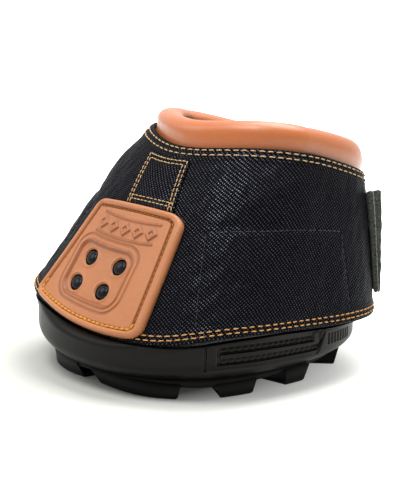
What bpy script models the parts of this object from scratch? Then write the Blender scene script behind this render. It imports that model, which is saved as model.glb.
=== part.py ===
"""Horse hoof boot: a moulded rubber cup and tread under a padded nylon upper that opens at the heel.

Lengths are in metres. The toe points to -Y, +Z is up and the ground is at Z = 0.
An angle is measured in degrees round the boot from the toe towards +X, so the heel is at 180.
A height share on the upper is 0 at its lower hem and 1 at its rim. An offset stands out from the upper's
outer face, and is negative inside it. The +X side is the boot's right.
"""
import math

import bmesh
import bpy
from mathutils import Matrix, Vector

# Fits
GAP = 0.0003
OVERRUN = 0.002

# Upper: outline of its lower hem
HEM_HALF_WIDTH = 0.0806
HEM_FRONT = 0.0693
HEM_REAR = 0.0825
HEM_TOE_Z = 0.0296
HEM_SIDE_Z = 0.0346
HEM_HEEL_Z = 0.0244
HEM_FRONT_POWER = 2.46
HEM_HEEL_POWER = 3.33

# Upper: outline of its rim
RIM_HALF_WIDTH = 0.0524
RIM_FRONT = 0.0401
RIM_REAR = 0.0586
RIM_SHIFT = 0.0334
RIM_TOE_Z = 0.1131
RIM_SIDE_Z = 0.1120
RIM_HEEL_Z = 0.0864
RIM_FRONT_POWER = 1.80
RIM_HEEL_POWER = 3.20
BEND_SHARE = 0.12
BEND_POWER = 4.9

# Upper: layers
FABRIC = 0.0020
LINING = 0.0044
STIFFENER = 0.0008
QUARTER_ANGLE = 147.0
STIFFENER_FRONT_ANGLE = 45.0
STIFFENER_REAR_ANGLE = 112.0
STIFFENER_LOW_SHARE = 0.10
STIFFENER_HIGH_SHARE = 0.56

# Rubber cup
SHELL_SIDE_INSET = 0.0074
SHELL_TOE_REACH = 0.0050
SHELL_HEEL_INSET = 0.0030
SHELL_HALF_WIDTH = HEM_HALF_WIDTH - SHELL_SIDE_INSET
SHELL_FRONT = HEM_FRONT + SHELL_TOE_REACH
SHELL_REAR = HEM_REAR - SHELL_HEEL_INSET
SHELL_FRONT_POWER = 2.32
SHELL_REAR_POWER = 2.72
SHELL_FOOT_Z = 0.0068
SHELL_FOOT_INSET = 0.0087
BULGE_SHARE = 0.50
SHOULDER_SHARE = 0.76
SHOULDER_INSET = 0.0008
ROUNDING_POWER = 2.3
SHELL_WALL = 0.0032
WALL_ROOT = 0.0046
WALL_TOP_SHARE = 0.24
FLOOR_Z = 0.0140
FLOOR_INSET = 0.0115
CAVITY_Z = 0.0175
CAVITY_INSET = 0.0064
LEDGE_GAP = 0.0004

# Relief of the cup's sides
PANEL_FRONT_ANGLE = 55.5
PANEL_REAR_ANGLE = 108.5
PANEL_LOW_SHARE = 0.34
PANEL_HIGH_SHARE = 0.90
PANEL_DEPTH = 0.0009
SLOT_DEPTH = 0.0022
SLOT_HEIGHT_SHARE = 0.13
LOWER_SLOT_SHARE = 0.50
UPPER_SLOT_SHARE = 0.70
SLOT_FRONT_ANGLE = 59.5
SLOT_REAR_ANGLES = (108.2, 105.5)
SLOT_JOINT_ANGLE = 1.5
RISER_ANGLE = 1.6
STEP_OVERLAP_ANGLE = 0.6
STEP_REAR_ANGLE = 110.8
GRILLE_FRONT_ANGLE = 112.7
GRILLE_PITCH_ANGLE = 1.95
GRILLE_BAR_ANGLE = 0.95
GRILLE_COUNT = 8
GRILLE_LOW_SHARE = 0.52
GRILLE_HIGH_SHARE = 0.74

# Tread
PLATE_LOW_Z = 0.0042
PLATE_INSET = 0.0091
LUG_INSET = 0.0115
TOE_ROCKER = 0.0040
TOE_ROCKER_POWER = 12
LUG_DEPTH = 0.0190
LUG_DRAFT = 0.0008
LUG_SINK = 0.0008
LUG_ENDS = ((4.5, 44.0), (61.5, 78.5), (101.0, 114.0), (133.5, 144.5), (155.0, 167.0))
CENTRE_PAD_HALF_WIDTH = 0.0240
CENTRE_PAD_HALF_LENGTH = 0.0290
CENTRE_PAD_POWER = 3.0

# Collar roll
LEG_DEPTH = 0.0070
COLLAR_SKIN = 0.0012
COLLAR_TOE_RISE = 0.0133
COLLAR_SIDE_RISE = 0.0103
COLLAR_HEEL_RISE = 0.0150
COLLAR_WAIST = 0.0040
COLLAR_THICKNESS = 0.0127
COLLAR_TOE_BULGE = 0.0007
COLLAR_SIDE_BULGE = 0.0012
COLLAR_HEEL_BULGE = 0.0030
COLLAR_TUCK = 0.0020

# Toe patch, its vent insert and the strap above it
PATCH_LOW_HALF_WIDTH = 0.0405
PATCH_HIGH_HALF_WIDTH = 0.0299
PATCH_LOW_SHARE = 0.004
PATCH_HIGH_SHARE = 0.630
PATCH_CORNER = 0.0062
PATCH_THICKNESS = 0.0025
PATCH_RIM_HEIGHT = 0.0006
PATCH_RIM_WIDTH = 0.0044
PATCH_EDGE_ROUND = 0.0009
GROOVE_WIDTH = 0.0020
GROOVE_DEPTH = 0.0007
POCKET_DEPTH = 0.0012
POCKET_INSET = 0.0090
VENT_RADIUS = 0.0040
VENT_SPACING = 0.0206
VENT_SHIFT = -0.0054
VENT_HIGH_SHARE = 0.349
VENT_LOW_SHARE = 0.204
INSERT_THICKNESS = 0.0008
INSERT_MARGIN = 0.0064
DOME_RADIUS = 0.0034
DOME_RISE = 0.0014
STRAP_HALF_WIDTH = 0.0135
STRAP_THICKNESS = 0.0016
STRAP_HIGH_SHARE = 0.925
STRAP_LOW_SHIFT = 0.0040
STRAP_HIGH_SHIFT = -0.0026

# Closing flap and heel flap
FLAP_LOW_SHARE = 0.13
FLAP_HIGH_SHARE = 0.85
ROOT_ANGLE = 229.0
ROOT_STRIP_ANGLE = 240.0
RAMP_ANGLE = 213.0
HEEL_FLAP_END_ANGLE = 210.5
HEEL_SEAM_ANGLE = 0.9
LOOP = 0.0006
HOOK = 0.0006
FLAP_LINING = 0.0006
FLAP_FABRIC = 0.0008
ROOT_CLEARANCE = 0.0004
TAPE_MARGIN_SHARE = 0.03
LOOP_FRONT_ANGLE = 137.0
HOOK_FRONT_ANGLE = 143.0
HOOK_REAR_ANGLE = 206.0
TAB_HINGE_ANGLE = 141.5
TAB_SEAM_ANGLE = 0.45
TAB_LOW_ANGLE = 136.5
TAB_HIGH_ANGLE = 133.5
TAB_LIFT = 0.0050
BINDING_WIDTH = 0.0030
BINDING = 0.0004
HINGE_LIFT = 0.0010
ROOT_SEAM_ANGLE = 0.8

# Fineness of the lofts
ANGLE_STEP = 6.0
SHARE_STEP = 1 / 6
SLOPE_STEP = 0.01


def make_material(name, colour, roughness, metallic=0.0):
    """A plain Principled BSDF material."""
    material = bpy.data.materials.new(name)
    material.use_nodes = True
    shader = material.node_tree.nodes["Principled BSDF"]
    shader.inputs["Base Color"].default_value = (*colour, 1.0)
    shader.inputs["Roughness"].default_value = roughness
    shader.inputs["Metallic"].default_value = metallic
    return material


def oval(half_width, front, rear, front_power, rear_power, angle):
    """Point of an egg-like outline that is rounder at one end than at the other."""
    sine = math.sin(math.radians(angle))
    cosine = math.cos(math.radians(angle))
    power = front_power if cosine > 0 else rear_power
    reach = front if cosine > 0 else rear
    spread = (abs(sine) / half_width) ** power + (abs(cosine) / reach) ** power
    radius = spread ** (-1 / power)
    return Vector((radius * sine, -radius * cosine))


def level(toe, side, heel, angle):
    """Height of an edge that passes smoothly through its toe, side and heel heights."""
    radians = math.radians(angle)
    mean = (toe + heel) / 4 + side / 2
    return mean + (toe - heel) / 2 * math.cos(radians) + (mean - side) * math.cos(2 * radians)


def hem_z(angle):
    return level(HEM_TOE_Z, HEM_SIDE_Z, HEM_HEEL_Z, angle)


def rim_z(angle):
    return level(RIM_TOE_Z, RIM_SIDE_Z, RIM_HEEL_Z, angle)


def upper_face(angle, share):
    """Outer face of the upper between its hem and its rim."""
    hem = oval(HEM_HALF_WIDTH, HEM_FRONT, HEM_REAR, HEM_FRONT_POWER, HEM_HEEL_POWER, angle)
    rim = oval(RIM_HALF_WIDTH, RIM_FRONT, RIM_REAR, RIM_FRONT_POWER, RIM_HEEL_POWER, angle)
    rim.y += RIM_SHIFT
    inward = (1 - BEND_SHARE) * share + BEND_SHARE * max(share, 0) ** BEND_POWER
    flat = hem.lerp(rim, inward)
    return Vector((flat.x, flat.y, hem_z(angle) * (1 - share) + rim_z(angle) * share))


def slopes(angle, share):
    """Directions round and up the upper, and its outward normal."""
    around = upper_face(angle + SLOPE_STEP, share) - upper_face(angle - SLOPE_STEP, share)
    up = upper_face(angle, share) - upper_face(angle, share - SLOPE_STEP)
    normal = around.cross(up).normalized()
    return around.normalized(), up.normalized(), normal


def slant(angle):
    """Length of the upper from hem to rim at an angle."""
    return (upper_face(angle, 1) - upper_face(angle, 0)).length


def upper_point(angle, share, offset):
    """Point off the upper's face. Above the rim it goes on straight."""
    on_face = min(share, 1)
    up, normal = slopes(angle, on_face)[1:]
    beyond = (share - on_face) * slant(angle)
    return upper_face(angle, on_face) + up * beyond + normal * offset


def shell_outline(angle, inset):
    """Outline of the cup, drawn in by an inset."""
    return oval(
        SHELL_HALF_WIDTH - inset,
        SHELL_FRONT - inset,
        SHELL_REAR - inset,
        SHELL_FRONT_POWER,
        SHELL_REAR_POWER,
        angle,
    )


def shell_point(angle, share, depth):
    """Point in the cup's bulged wall: share 0 at its foot, 1 at the upper's hem."""
    below = max(BULGE_SHARE - share, 0) / BULGE_SHARE
    inset = SHELL_FOOT_INSET * below ** ROUNDING_POWER
    flat = shell_outline(angle, inset + depth)
    z = SHELL_FOOT_Z + share * (hem_z(angle) - SHELL_FOOT_Z)
    return Vector((flat.x, flat.y, z))


def spaced(start, end, step):
    """Values from start to end, with every multiple of the step between them."""
    low, high = min(start, end), max(start, end)
    first = math.floor(low / step) + 1
    last = math.ceil(high / step) - 1
    values = [low] + [count * step for count in range(first, last + 1)] + [high]
    return values if start < end else values[::-1]


def angles_between(start, end):
    return spaced(start, end, ANGLE_STEP)


def shares_between(start, end):
    return spaced(start, end, SHARE_STEP)


def add_object(name, body, material, collection, parent=None):
    """Turn a bmesh into a smooth-shaded object, kept in place under its parent."""
    bmesh.ops.recalc_face_normals(body, faces=body.faces)
    mesh = bpy.data.meshes.new(name)
    body.to_mesh(mesh)
    body.free()
    mesh.shade_smooth()
    mesh.set_sharp_from_angle(angle=math.radians(35))
    piece = bpy.data.objects.new(name, mesh)
    if material:
        mesh.materials.append(material)
    collection.objects.link(piece)
    if parent:
        piece.parent = parent
        piece.matrix_parent_inverse = parent.matrix_world.inverted()
    return piece


def fill_cell(body, corners):
    """Two triangles over four corners, always split the same way so that like layers stay parallel."""
    first, second, third, fourth = corners
    body.faces.new((first, second, third))
    body.faces.new((first, third, fourth))


def loft_body(loops, body=None):
    """Closed body through a row of like closed loops, with a face on each end loop."""
    body = body or bmesh.new()
    rings = [[body.verts.new(point) for point in loop] for loop in loops]
    for near, far in zip(rings, rings[1:]):
        for index in range(len(near)):
            following = (index + 1) % len(near)
            fill_cell(body, (near[index], near[following], far[following], far[index]))
    body.faces.new(rings[0])
    body.faces.new(rings[-1])
    return body


def sheet_body(outer, inner, body=None):
    """Closed body between two like grids of points."""
    body = body or bmesh.new()
    faces = [[[body.verts.new(point) for point in row] for row in grid] for grid in (outer, inner)]
    columns, rows = len(outer), len(outer[0])
    for face in faces:
        for column in range(columns - 1):
            for row in range(rows - 1):
                fill_cell(body, (
                    face[column][row],
                    face[column + 1][row],
                    face[column + 1][row + 1],
                    face[column][row + 1],
                ))
    border = [(column, 0) for column in range(columns)]
    border += [(columns - 1, row) for row in range(1, rows)]
    border += [(column, rows - 1) for column in range(columns - 2, -1, -1)]
    border += [(0, row) for row in range(rows - 2, 0, -1)]
    for index, (column, row) in enumerate(border):
        next_column, next_row = border[(index + 1) % len(border)]
        fill_cell(body, (
            faces[0][column][row],
            faces[0][next_column][next_row],
            faces[1][next_column][next_row],
            faces[1][column][row],
        ))
    return body


def wrap_sheet(angles, shares_at, outer, inner, body=None):
    """Sheet that follows the upper. Outer and inner give the offset at an angle and a share."""
    def grid(offset):
        return [[upper_point(angle, share, offset(angle, share)) for share in shares_at(angle)]
                for angle in angles]
    return sheet_body(grid(outer), grid(inner), body)


def constant(value):
    return lambda *place: value


def cut(piece, cutter, operation="DIFFERENCE"):
    """Boolean modifier that cuts a piece, or joins to it, with a hidden object."""
    cutter.hide_render = True
    cutter.display_type = "WIRE"
    modifier = piece.modifiers.new(operation.title(), "BOOLEAN")
    modifier.operation = operation
    modifier.solver = "EXACT"
    modifier.object = cutter


def add_cutter(name, body, cutters):
    return add_object(name, body, None, cutters)


def both_sides(start, end):
    """An angle range on the right and its mirror image on the left."""
    return ((start, end), (-end, -start))


# Offsets of the layers, worked out from their thicknesses
LINING_FACE = -(FABRIC + GAP)
LINING_BACK = LINING_FACE - LINING
WALL_FACE = LINING_BACK - GAP
LOOP_FACE = GAP + LOOP
HOOK_BACK = LOOP_FACE + GAP
FLAP_BACK = HOOK_BACK + HOOK + GAP
FLAP_MIDDLE = FLAP_BACK + FLAP_LINING
FLAP_FACE = FLAP_MIDDLE + GAP + FLAP_FABRIC


def below_rim(angle, depth):
    """Height share at a depth under the rim."""
    return 1 - depth / slant(angle)


def lining_shares(angle):
    return shares_between(0, below_rim(angle, LEG_DEPTH + GAP))


def full_shares(angle):
    return shares_between(0, 1)


# Rubber cup and tread

def shell_loops():
    """Loops of the cup from its foot up the outside, over the wall's top and down to the floor."""
    angles = [count * ANGLE_STEP for count in range(round(360 / ANGLE_STEP))]

    def under_hem(angle):
        return -LEDGE_GAP / slant(angle)

    def shoulder_outline(angle):
        """The shoulder is drawn out where the wall above would overhang it."""
        flat = shell_outline(angle, SHOULDER_INSET)
        wall = upper_point(angle, 0, WALL_FACE).to_2d()
        return flat * max(1, wall.length / flat.length)

    def ledge_reach(angle):
        overhang = upper_face(angle, 0).to_2d().length - shoulder_outline(angle).length
        return -min(max(overhang, 0), -WALL_FACE)

    def shoulder(angle):
        low = shell_point(angle, SHOULDER_SHARE, 0)
        edge = upper_point(angle, under_hem(angle), ledge_reach(angle))
        corner = Vector((*shoulder_outline(angle), (low.z + 3 * edge.z) / 4))
        return (low + 2 * corner + edge) / 4

    def level_ring(inset, z):
        return [Vector((*shell_outline(angle, inset), z)) for angle in angles]

    def wall_back(angle, share):
        """Inner face of the wall. Low down it keeps a root's thickness behind the cup's outside."""
        point = upper_point(angle, share, WALL_FACE - SHELL_WALL)
        root = shell_outline(angle, WALL_ROOT).length
        return Vector((*(point.to_2d() * min(1, root / point.to_2d().length)), point.z))

    wall_shares = (0, WALL_TOP_SHARE / 2, WALL_TOP_SHARE)
    outside_shares = (0, BULGE_SHARE / 5, BULGE_SHARE / 2, BULGE_SHARE, SHOULDER_SHARE)
    loops = [[shell_point(angle, share, 0) for angle in angles] for share in outside_shares]
    loops[0] = level_ring(SHELL_FOOT_INSET, SHELL_FOOT_Z)
    loops.append([shoulder(angle) for angle in angles])
    loops.append([upper_point(angle, under_hem(angle), ledge_reach(angle) - GAP) for angle in angles])
    loops += [[upper_point(angle, share or under_hem(angle), WALL_FACE - GAP) for angle in angles]
              for share in wall_shares]
    loops += [[wall_back(angle, share) for angle in angles] for share in wall_shares[::-1]]
    loops.append(level_ring(CAVITY_INSET, CAVITY_Z))
    loops.append(level_ring((CAVITY_INSET + FLOOR_INSET) / 2, (CAVITY_Z + 3 * FLOOR_Z) / 4))
    loops.append(level_ring(FLOOR_INSET, FLOOR_Z))
    return loops


def wall_cutter(start, end, low, high, depth, climb=0.0, body=None):
    """Block that sinks a window of the cup's wall by a depth. A climb lifts the window's rear end."""
    def shares(angle):
        rear = max(abs(start), abs(end))
        front = min(abs(start), abs(end))
        lift = climb * (abs(angle) - front) / (rear - front)
        return (low + lift, (low + high) / 2 + lift, high + lift)
    angles = angles_between(start, end)
    outer = [[shell_point(angle, share, -OVERRUN) for share in shares(angle)] for angle in angles]
    inner = [[shell_point(angle, share, depth) for share in shares(angle)] for angle in angles]
    return sheet_body(outer, inner, body)


def build_shell(collection, cutters, material):
    shell = add_object("lower_shell", loft_body(shell_loops()), material, collection)
    panels = bmesh.new()
    slots = bmesh.new()
    notches = bmesh.new()
    for start, end in both_sides(PANEL_FRONT_ANGLE, PANEL_REAR_ANGLE):
        wall_cutter(start, end, PANEL_LOW_SHARE, PANEL_HIGH_SHARE, PANEL_DEPTH, body=panels)
    for middle, rear in zip((LOWER_SLOT_SHARE, UPPER_SLOT_SHARE), SLOT_REAR_ANGLES):
        for start, end in both_sides(SLOT_FRONT_ANGLE, rear):
            low = middle - SLOT_HEIGHT_SHARE / 2
            wall_cutter(start, end, low, low + SLOT_HEIGHT_SHARE, SLOT_DEPTH, body=slots)
    for start, end in both_sides(SLOT_FRONT_ANGLE + STEP_OVERLAP_ANGLE, SLOT_FRONT_ANGLE + SLOT_JOINT_ANGLE):
        wall_cutter(start, end, LOWER_SLOT_SHARE, UPPER_SLOT_SHARE, SLOT_DEPTH, body=notches)
    for start, end in both_sides(SLOT_REAR_ANGLES[1] - RISER_ANGLE, SLOT_REAR_ANGLES[1] - STEP_OVERLAP_ANGLE):
        wall_cutter(start, end, UPPER_SLOT_SHARE, PANEL_HIGH_SHARE, SLOT_DEPTH, body=notches)
    for start, end in both_sides(PANEL_REAR_ANGLE - STEP_OVERLAP_ANGLE, STEP_REAR_ANGLE):
        low = LOWER_SLOT_SHARE - SLOT_HEIGHT_SHARE / 2
        high = low + SLOT_HEIGHT_SHARE
        wall_cutter(start, end, low, high, SLOT_DEPTH, PANEL_HIGH_SHARE - high, notches)
    for count in range(GRILLE_COUNT):
        front = GRILLE_FRONT_ANGLE + count * GRILLE_PITCH_ANGLE
        for start, end in both_sides(front, front + GRILLE_BAR_ANGLE):
            wall_cutter(start, end, GRILLE_LOW_SHARE, GRILLE_HIGH_SHARE, SLOT_DEPTH, body=notches)
    cut(shell, add_cutter("shell_panel_cutter", panels, cutters))
    cut(shell, add_cutter("shell_slot_cutter", slots, cutters))
    cut(shell, add_cutter("shell_notch_cutter", notches, cutters))


def lug_body(start, end, body):
    """Tread lug: a block under the plate's edge, with drafted ends and a sloped outer face."""
    top_z = PLATE_LOW_Z + LUG_SINK
    loops = []
    angles = angles_between(start, end)
    for angle in angles:
        share = (angle - start) / (end - start)
        draft = math.degrees(LUG_DRAFT / SHELL_HALF_WIDTH) * (1 - 2 * share)
        rocker = TOE_ROCKER * max(math.cos(math.radians(angle)), 0) ** TOE_ROCKER_POWER
        sole_inset = LUG_INSET + rocker
        edge = PLATE_INSET + GAP + (sole_inset - PLATE_INSET - GAP) * (1 - top_z / SHELL_FOOT_Z)
        loops.append((
            Vector((*shell_outline(angle, edge), top_z)),
            Vector((*shell_outline(angle + draft, sole_inset), 0)),
            Vector((*shell_outline(angle + draft, sole_inset + LUG_DEPTH), 0)),
            Vector((*shell_outline(angle, sole_inset + LUG_DEPTH + LUG_DRAFT), top_z)),
        ))
    return loft_body(loops, body)


def build_tread(collection, cutters, material):
    plate_high_z = SHELL_FOOT_Z - GAP
    angles = [count * ANGLE_STEP for count in range(round(360 / ANGLE_STEP))]
    plate = [[Vector((*shell_outline(angle, PLATE_INSET), z)) for angle in angles]
             for z in (PLATE_LOW_Z, plate_high_z)]
    tread = add_object("tread", loft_body(plate), material, collection)
    lugs = None
    for start, end in LUG_ENDS:
        for side_start, side_end in both_sides(start, end):
            lugs = lug_body(side_start, side_end, lugs)
    pad = []
    for z, inset in ((0, LUG_DRAFT), (PLATE_LOW_Z + LUG_SINK, 0)):
        width = CENTRE_PAD_HALF_WIDTH - inset
        length = CENTRE_PAD_HALF_LENGTH - inset
        pad.append([Vector((*oval(width, length, length, CENTRE_PAD_POWER, CENTRE_PAD_POWER, angle), z))
                    for angle in angles[::2]])
    lugs = loft_body(pad, lugs)
    cut(tread, add_cutter("tread_lugs", lugs, cutters), "UNION")


# Upper

def stiffener_ranges():
    return both_sides(STIFFENER_FRONT_ANGLE, STIFFENER_REAR_ANGLE)


def lining_face(angle, share):
    """Outer face of the lining, sunk behind the stiffeners."""
    beside = STIFFENER_FRONT_ANGLE - ANGLE_STEP / 2 <= abs(angle) <= STIFFENER_REAR_ANGLE + ANGLE_STEP / 2
    under = share <= STIFFENER_HIGH_SHARE + SHARE_STEP
    return LINING_FACE - (STIFFENER + GAP if beside and under else 0)


def build_upper(collection, materials):
    angles = angles_between(-QUARTER_ANGLE, QUARTER_ANGLE)
    fabric = wrap_sheet(angles, full_shares, constant(0), constant(-FABRIC))
    add_object("upper_fabric", fabric, materials["nylon"], collection)
    lining = wrap_sheet(angles, lining_shares, lining_face, constant(LINING_BACK))
    add_object("upper_lining", lining, materials["lining"], collection)
    for name, (start, end) in zip(("right", "left"), stiffener_ranges()):
        sheet = wrap_sheet(
            angles_between(start, end),
            lambda angle: shares_between(STIFFENER_LOW_SHARE, STIFFENER_HIGH_SHARE),
            constant(LINING_FACE),
            constant(LINING_FACE - STIFFENER),
        )
        add_object("side_stiffener_" + name, sheet, materials["stiffener"], collection)


def inset_chain(chain, inset):
    """A flat open chain of points moved to its right-hand side by an inset, with mitred corners."""
    moved = []
    for index, point in enumerate(chain):
        before = chain[max(index - 1, 0)]
        after = chain[min(index + 1, len(chain) - 1)]
        into = (point - before if index else after - point).normalized()
        out_of = (after - point if index < len(chain) - 1 else point - before).normalized()
        normal = Vector((into.y + out_of.y, -into.x - out_of.x)).normalized()
        squareness = normal.dot(Vector((into.y, -into.x)))
        moved.append(point + normal * inset / squareness)
    return moved


def collar_section(angle, inset):
    """Section of the collar, drawn in by an inset, as an open chain from its outer leg over to the lining.

    It stands up behind the hem on a thin leg, rolls over, and comes down to the lining inside.
    """
    around, up, normal = slopes(angle, 1)
    out = around.cross(Vector((0, 0, 1))).normalized()
    rise = out.cross(around)
    lean = Vector((normal.dot(out), normal.dot(rise)))
    climb = Vector((-lean.y, lean.x))
    leg = LINING_FACE - GAP
    outside = leg + level(COLLAR_TOE_BULGE, COLLAR_SIDE_BULGE, COLLAR_HEEL_BULGE, angle)
    inside = LINING_FACE - COLLAR_THICKNESS
    middle = (outside + inside) / 2
    half = outside - middle
    top = level(COLLAR_TOE_RISE, COLLAR_SIDE_RISE, COLLAR_HEEL_RISE, angle)
    chain = [lean * leg - climb * LEG_DEPTH, lean * leg]
    for turn in range(0, 181, 36):
        radians = math.radians(turn)
        height = COLLAR_WAIST + (top - COLLAR_WAIST) * math.sin(radians)
        chain.append(Vector((middle + half * math.cos(radians), height)))
    chain.append(Vector((inside + COLLAR_TUCK, -COLLAR_TUCK)))
    chain.append(lean * LINING_BACK - climb * LEG_DEPTH)
    rim = upper_face(angle, 1)
    return [rim + out * point.x + rise * point.y for point in inset_chain(chain, -inset)]


def collar_cover_body(angles):
    """Skin of the collar: an upturned U, open below, that tucks in behind the hem."""
    outer = [collar_section(angle, 0) for angle in angles]
    inner = [collar_section(angle, COLLAR_SKIN) for angle in angles]
    return sheet_body(outer, inner)


def collar_foam_body(angles):
    return loft_body([collar_section(angle, COLLAR_SKIN + GAP) for angle in angles])


def angle_at(x, share):
    """Angle on the upper's front half where it has a sideways place x."""
    low, high = 0.0, 90.0
    for halving in range(40):
        middle = (low + high) / 2
        if upper_face(middle, share).x < abs(x):
            low = middle
        else:
            high = middle
    return math.copysign(low, x)


def front_point(x, share, offset):
    return upper_point(angle_at(x, share), share, offset)


def patch_half_width(share):
    """Half width of the patch, without its round corners."""
    climb = (share - PATCH_LOW_SHARE) / (PATCH_HIGH_SHARE - PATCH_LOW_SHARE)
    return PATCH_LOW_HALF_WIDTH + (PATCH_HIGH_HALF_WIDTH - PATCH_LOW_HALF_WIDTH) * climb


def end_distance(share):
    """Distance along the upper from a height to the patch's nearer end."""
    return min(share - PATCH_LOW_SHARE, PATCH_HIGH_SHARE - share) * slant(0)


def patch_reach(share):
    """Half width of the patch with its round corners."""
    drop = max(PATCH_CORNER - end_distance(share), 0)
    return patch_half_width(share) - PATCH_CORNER + math.sqrt(max(PATCH_CORNER ** 2 - drop ** 2, 0))


def edge_distance(x, share):
    """Distance from a place on the patch to its rounded outline."""
    side = PATCH_CORNER - (patch_half_width(share) - abs(x))
    end = PATCH_CORNER - end_distance(share)
    if side > 0 and end > 0:
        return PATCH_CORNER - math.hypot(side, end)
    return PATCH_CORNER - max(side, end)


def stepped(value, steps):
    """Value of a piecewise straight curve given as (place, height) steps."""
    if value <= steps[0][0]:
        return steps[0][1]
    for (near, low), (far, high) in zip(steps, steps[1:]):
        if value <= far:
            return low + (high - low) * (value - near) / (far - near)
    return steps[-1][1]


PATCH_FACE = GAP + PATCH_THICKNESS
RIM_CREST = PATCH_FACE + PATCH_RIM_HEIGHT
GROOVE_PLACES = (
    (0, PATCH_FACE - PATCH_EDGE_ROUND),
    (PATCH_EDGE_ROUND, RIM_CREST),
    (PATCH_RIM_WIDTH - PATCH_EDGE_ROUND, RIM_CREST),
    (PATCH_RIM_WIDTH, PATCH_FACE - GROOVE_DEPTH),
    (PATCH_RIM_WIDTH + GROOVE_WIDTH - PATCH_EDGE_ROUND, PATCH_FACE - GROOVE_DEPTH),
    (PATCH_RIM_WIDTH + GROOVE_WIDTH, PATCH_FACE),
)
POCKET_PLACES = (
    (PATCH_RIM_WIDTH + GROOVE_WIDTH, GAP),
    (POCKET_INSET, GAP + POCKET_DEPTH),
)
INNER_COLUMNS = 8
INNER_ROWS = 9


def inset_places(reach, count):
    """Places from -reach to reach, close together at the rim and the groove."""
    insets = [place for place, height in GROOVE_PLACES] + [POCKET_INSET]
    inner = reach - POCKET_INSET
    middle = [inner * (2 * index / count - 1) for index in range(1, count)]
    return [inset - reach for inset in insets] + middle + [reach - inset for inset in insets[::-1]]


def dome_loops(seat):
    """Circles of a low dome that stands on the vent insert."""
    loops = []
    for climb in (0, 30, 60, 80):
        radius = DOME_RADIUS * math.cos(math.radians(climb))
        rise = DOME_RISE * math.sin(math.radians(climb))
        turns = [math.radians(turn) for turn in range(0, 360, 24)]
        loops.append([seat @ Vector((radius * math.cos(turn), radius * math.sin(turn), rise))
                      for turn in turns])
    return loops


def build_patch(collection, cutters, materials):
    """Moulded toe guard with a raised rim, a stitching groove and four vents."""
    centre = (PATCH_LOW_SHARE + PATCH_HIGH_SHARE) / 2
    half_height = (PATCH_HIGH_SHARE - PATCH_LOW_SHARE) / 2 * slant(0)
    shares = [centre + place / slant(0) for place in inset_places(half_height, INNER_ROWS)]
    outer = []
    inner = []
    for column in range(len(inset_places(PATCH_LOW_HALF_WIDTH, INNER_COLUMNS))):
        places = [(inset_places(patch_reach(share), INNER_COLUMNS)[column], share) for share in shares]
        outer.append([front_point(x, share, stepped(edge_distance(x, share), GROOVE_PLACES))
                      for x, share in places])
        inner.append([front_point(x, share, stepped(edge_distance(x, share), POCKET_PLACES))
                      for x, share in places])
    patch = add_object("toe_patch", sheet_body(outer, inner), materials["patch"], collection)

    vents = bmesh.new()
    domes = bmesh.new()
    for share in (VENT_HIGH_SHARE, VENT_LOW_SHARE):
        for side in (-1, 1):
            x = VENT_SHIFT + side * VENT_SPACING / 2
            normal = slopes(angle_at(x, share), share)[2]
            turn = normal.to_track_quat("Z", "Y").to_matrix().to_4x4()
            place = Matrix.Translation(front_point(x, share, PATCH_FACE / 2)) @ turn
            bmesh.ops.create_cone(
                vents,
                cap_ends=True,
                segments=16,
                radius1=VENT_RADIUS,
                radius2=VENT_RADIUS,
                depth=PATCH_FACE + 2 * OVERRUN,
                matrix=place,
            )
            seat = Matrix.Translation(front_point(x, share, GAP + INSERT_THICKNESS / 2)) @ turn
            loft_body(dome_loops(seat), domes)
    cut(patch, add_cutter("vent_cutter", vents, cutters))

    margin = INSERT_MARGIN / slant(0)
    rows = shares_between(VENT_LOW_SHARE - margin, VENT_HIGH_SHARE + margin)
    reach = VENT_SPACING / 2 + INSERT_MARGIN
    columns = [VENT_SHIFT + reach * (index / 4 - 1) for index in range(9)]
    plate = sheet_body(
        [[front_point(x, share, GAP + INSERT_THICKNESS) for share in rows] for x in columns],
        [[front_point(x, share, GAP) for share in rows] for x in columns],
    )
    insert = add_object("patch_backing", plate, materials["insert"], collection)
    cut(insert, add_cutter("vent_domes", domes, cutters), "UNION")


def build_strap(collection, materials):
    low = PATCH_HIGH_SHARE + GAP / slant(0)
    rows = shares_between(low, STRAP_HIGH_SHARE)
    columns = [STRAP_HALF_WIDTH * (index / 3 - 1) for index in range(7)]

    def middle(share):
        climb = (share - low) / (STRAP_HIGH_SHARE - low)
        return STRAP_LOW_SHIFT + (STRAP_HIGH_SHIFT - STRAP_LOW_SHIFT) * climb

    strap = sheet_body(
        [[front_point(middle(share) + x, share, GAP + STRAP_THICKNESS) for share in rows] for x in columns],
        [[front_point(middle(share) + x, share, GAP) for share in rows] for x in columns],
    )
    add_object("toe_strap", strap, materials["webbing"], collection)


# Closing flap, heel flap and grip tab

def flap_drop(angle):
    """How much closer to the upper the closing flap lies near its root."""
    ramp = (angle - RAMP_ANGLE) / (ROOT_ANGLE - RAMP_ANGLE)
    return (FLAP_BACK - ROOT_CLEARANCE) * min(max(ramp, 0), 1)


def dropped(offset):
    return lambda angle, share: offset - flap_drop(angle)


def flap_shares(angle):
    return shares_between(FLAP_LOW_SHARE, FLAP_HIGH_SHARE)


def tape_shares(angle):
    return shares_between(FLAP_LOW_SHARE + TAPE_MARGIN_SHARE, FLAP_HIGH_SHARE - TAPE_MARGIN_SHARE)


def hinge_frame(name, angle, low, high, offset, collection):
    """Empty on a fold line, its Z axis along the line from low to high."""
    foot = upper_point(angle, low, offset)
    direction = (upper_point(angle, high, offset) - foot).normalized()
    hinge = bpy.data.objects.new(name, None)
    hinge.matrix_world = Matrix.Translation(foot) @ direction.to_track_quat("Z", "Y").to_matrix().to_4x4()
    hinge.empty_display_size = FLAP_BACK
    collection.objects.link(hinge)
    return hinge


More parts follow.
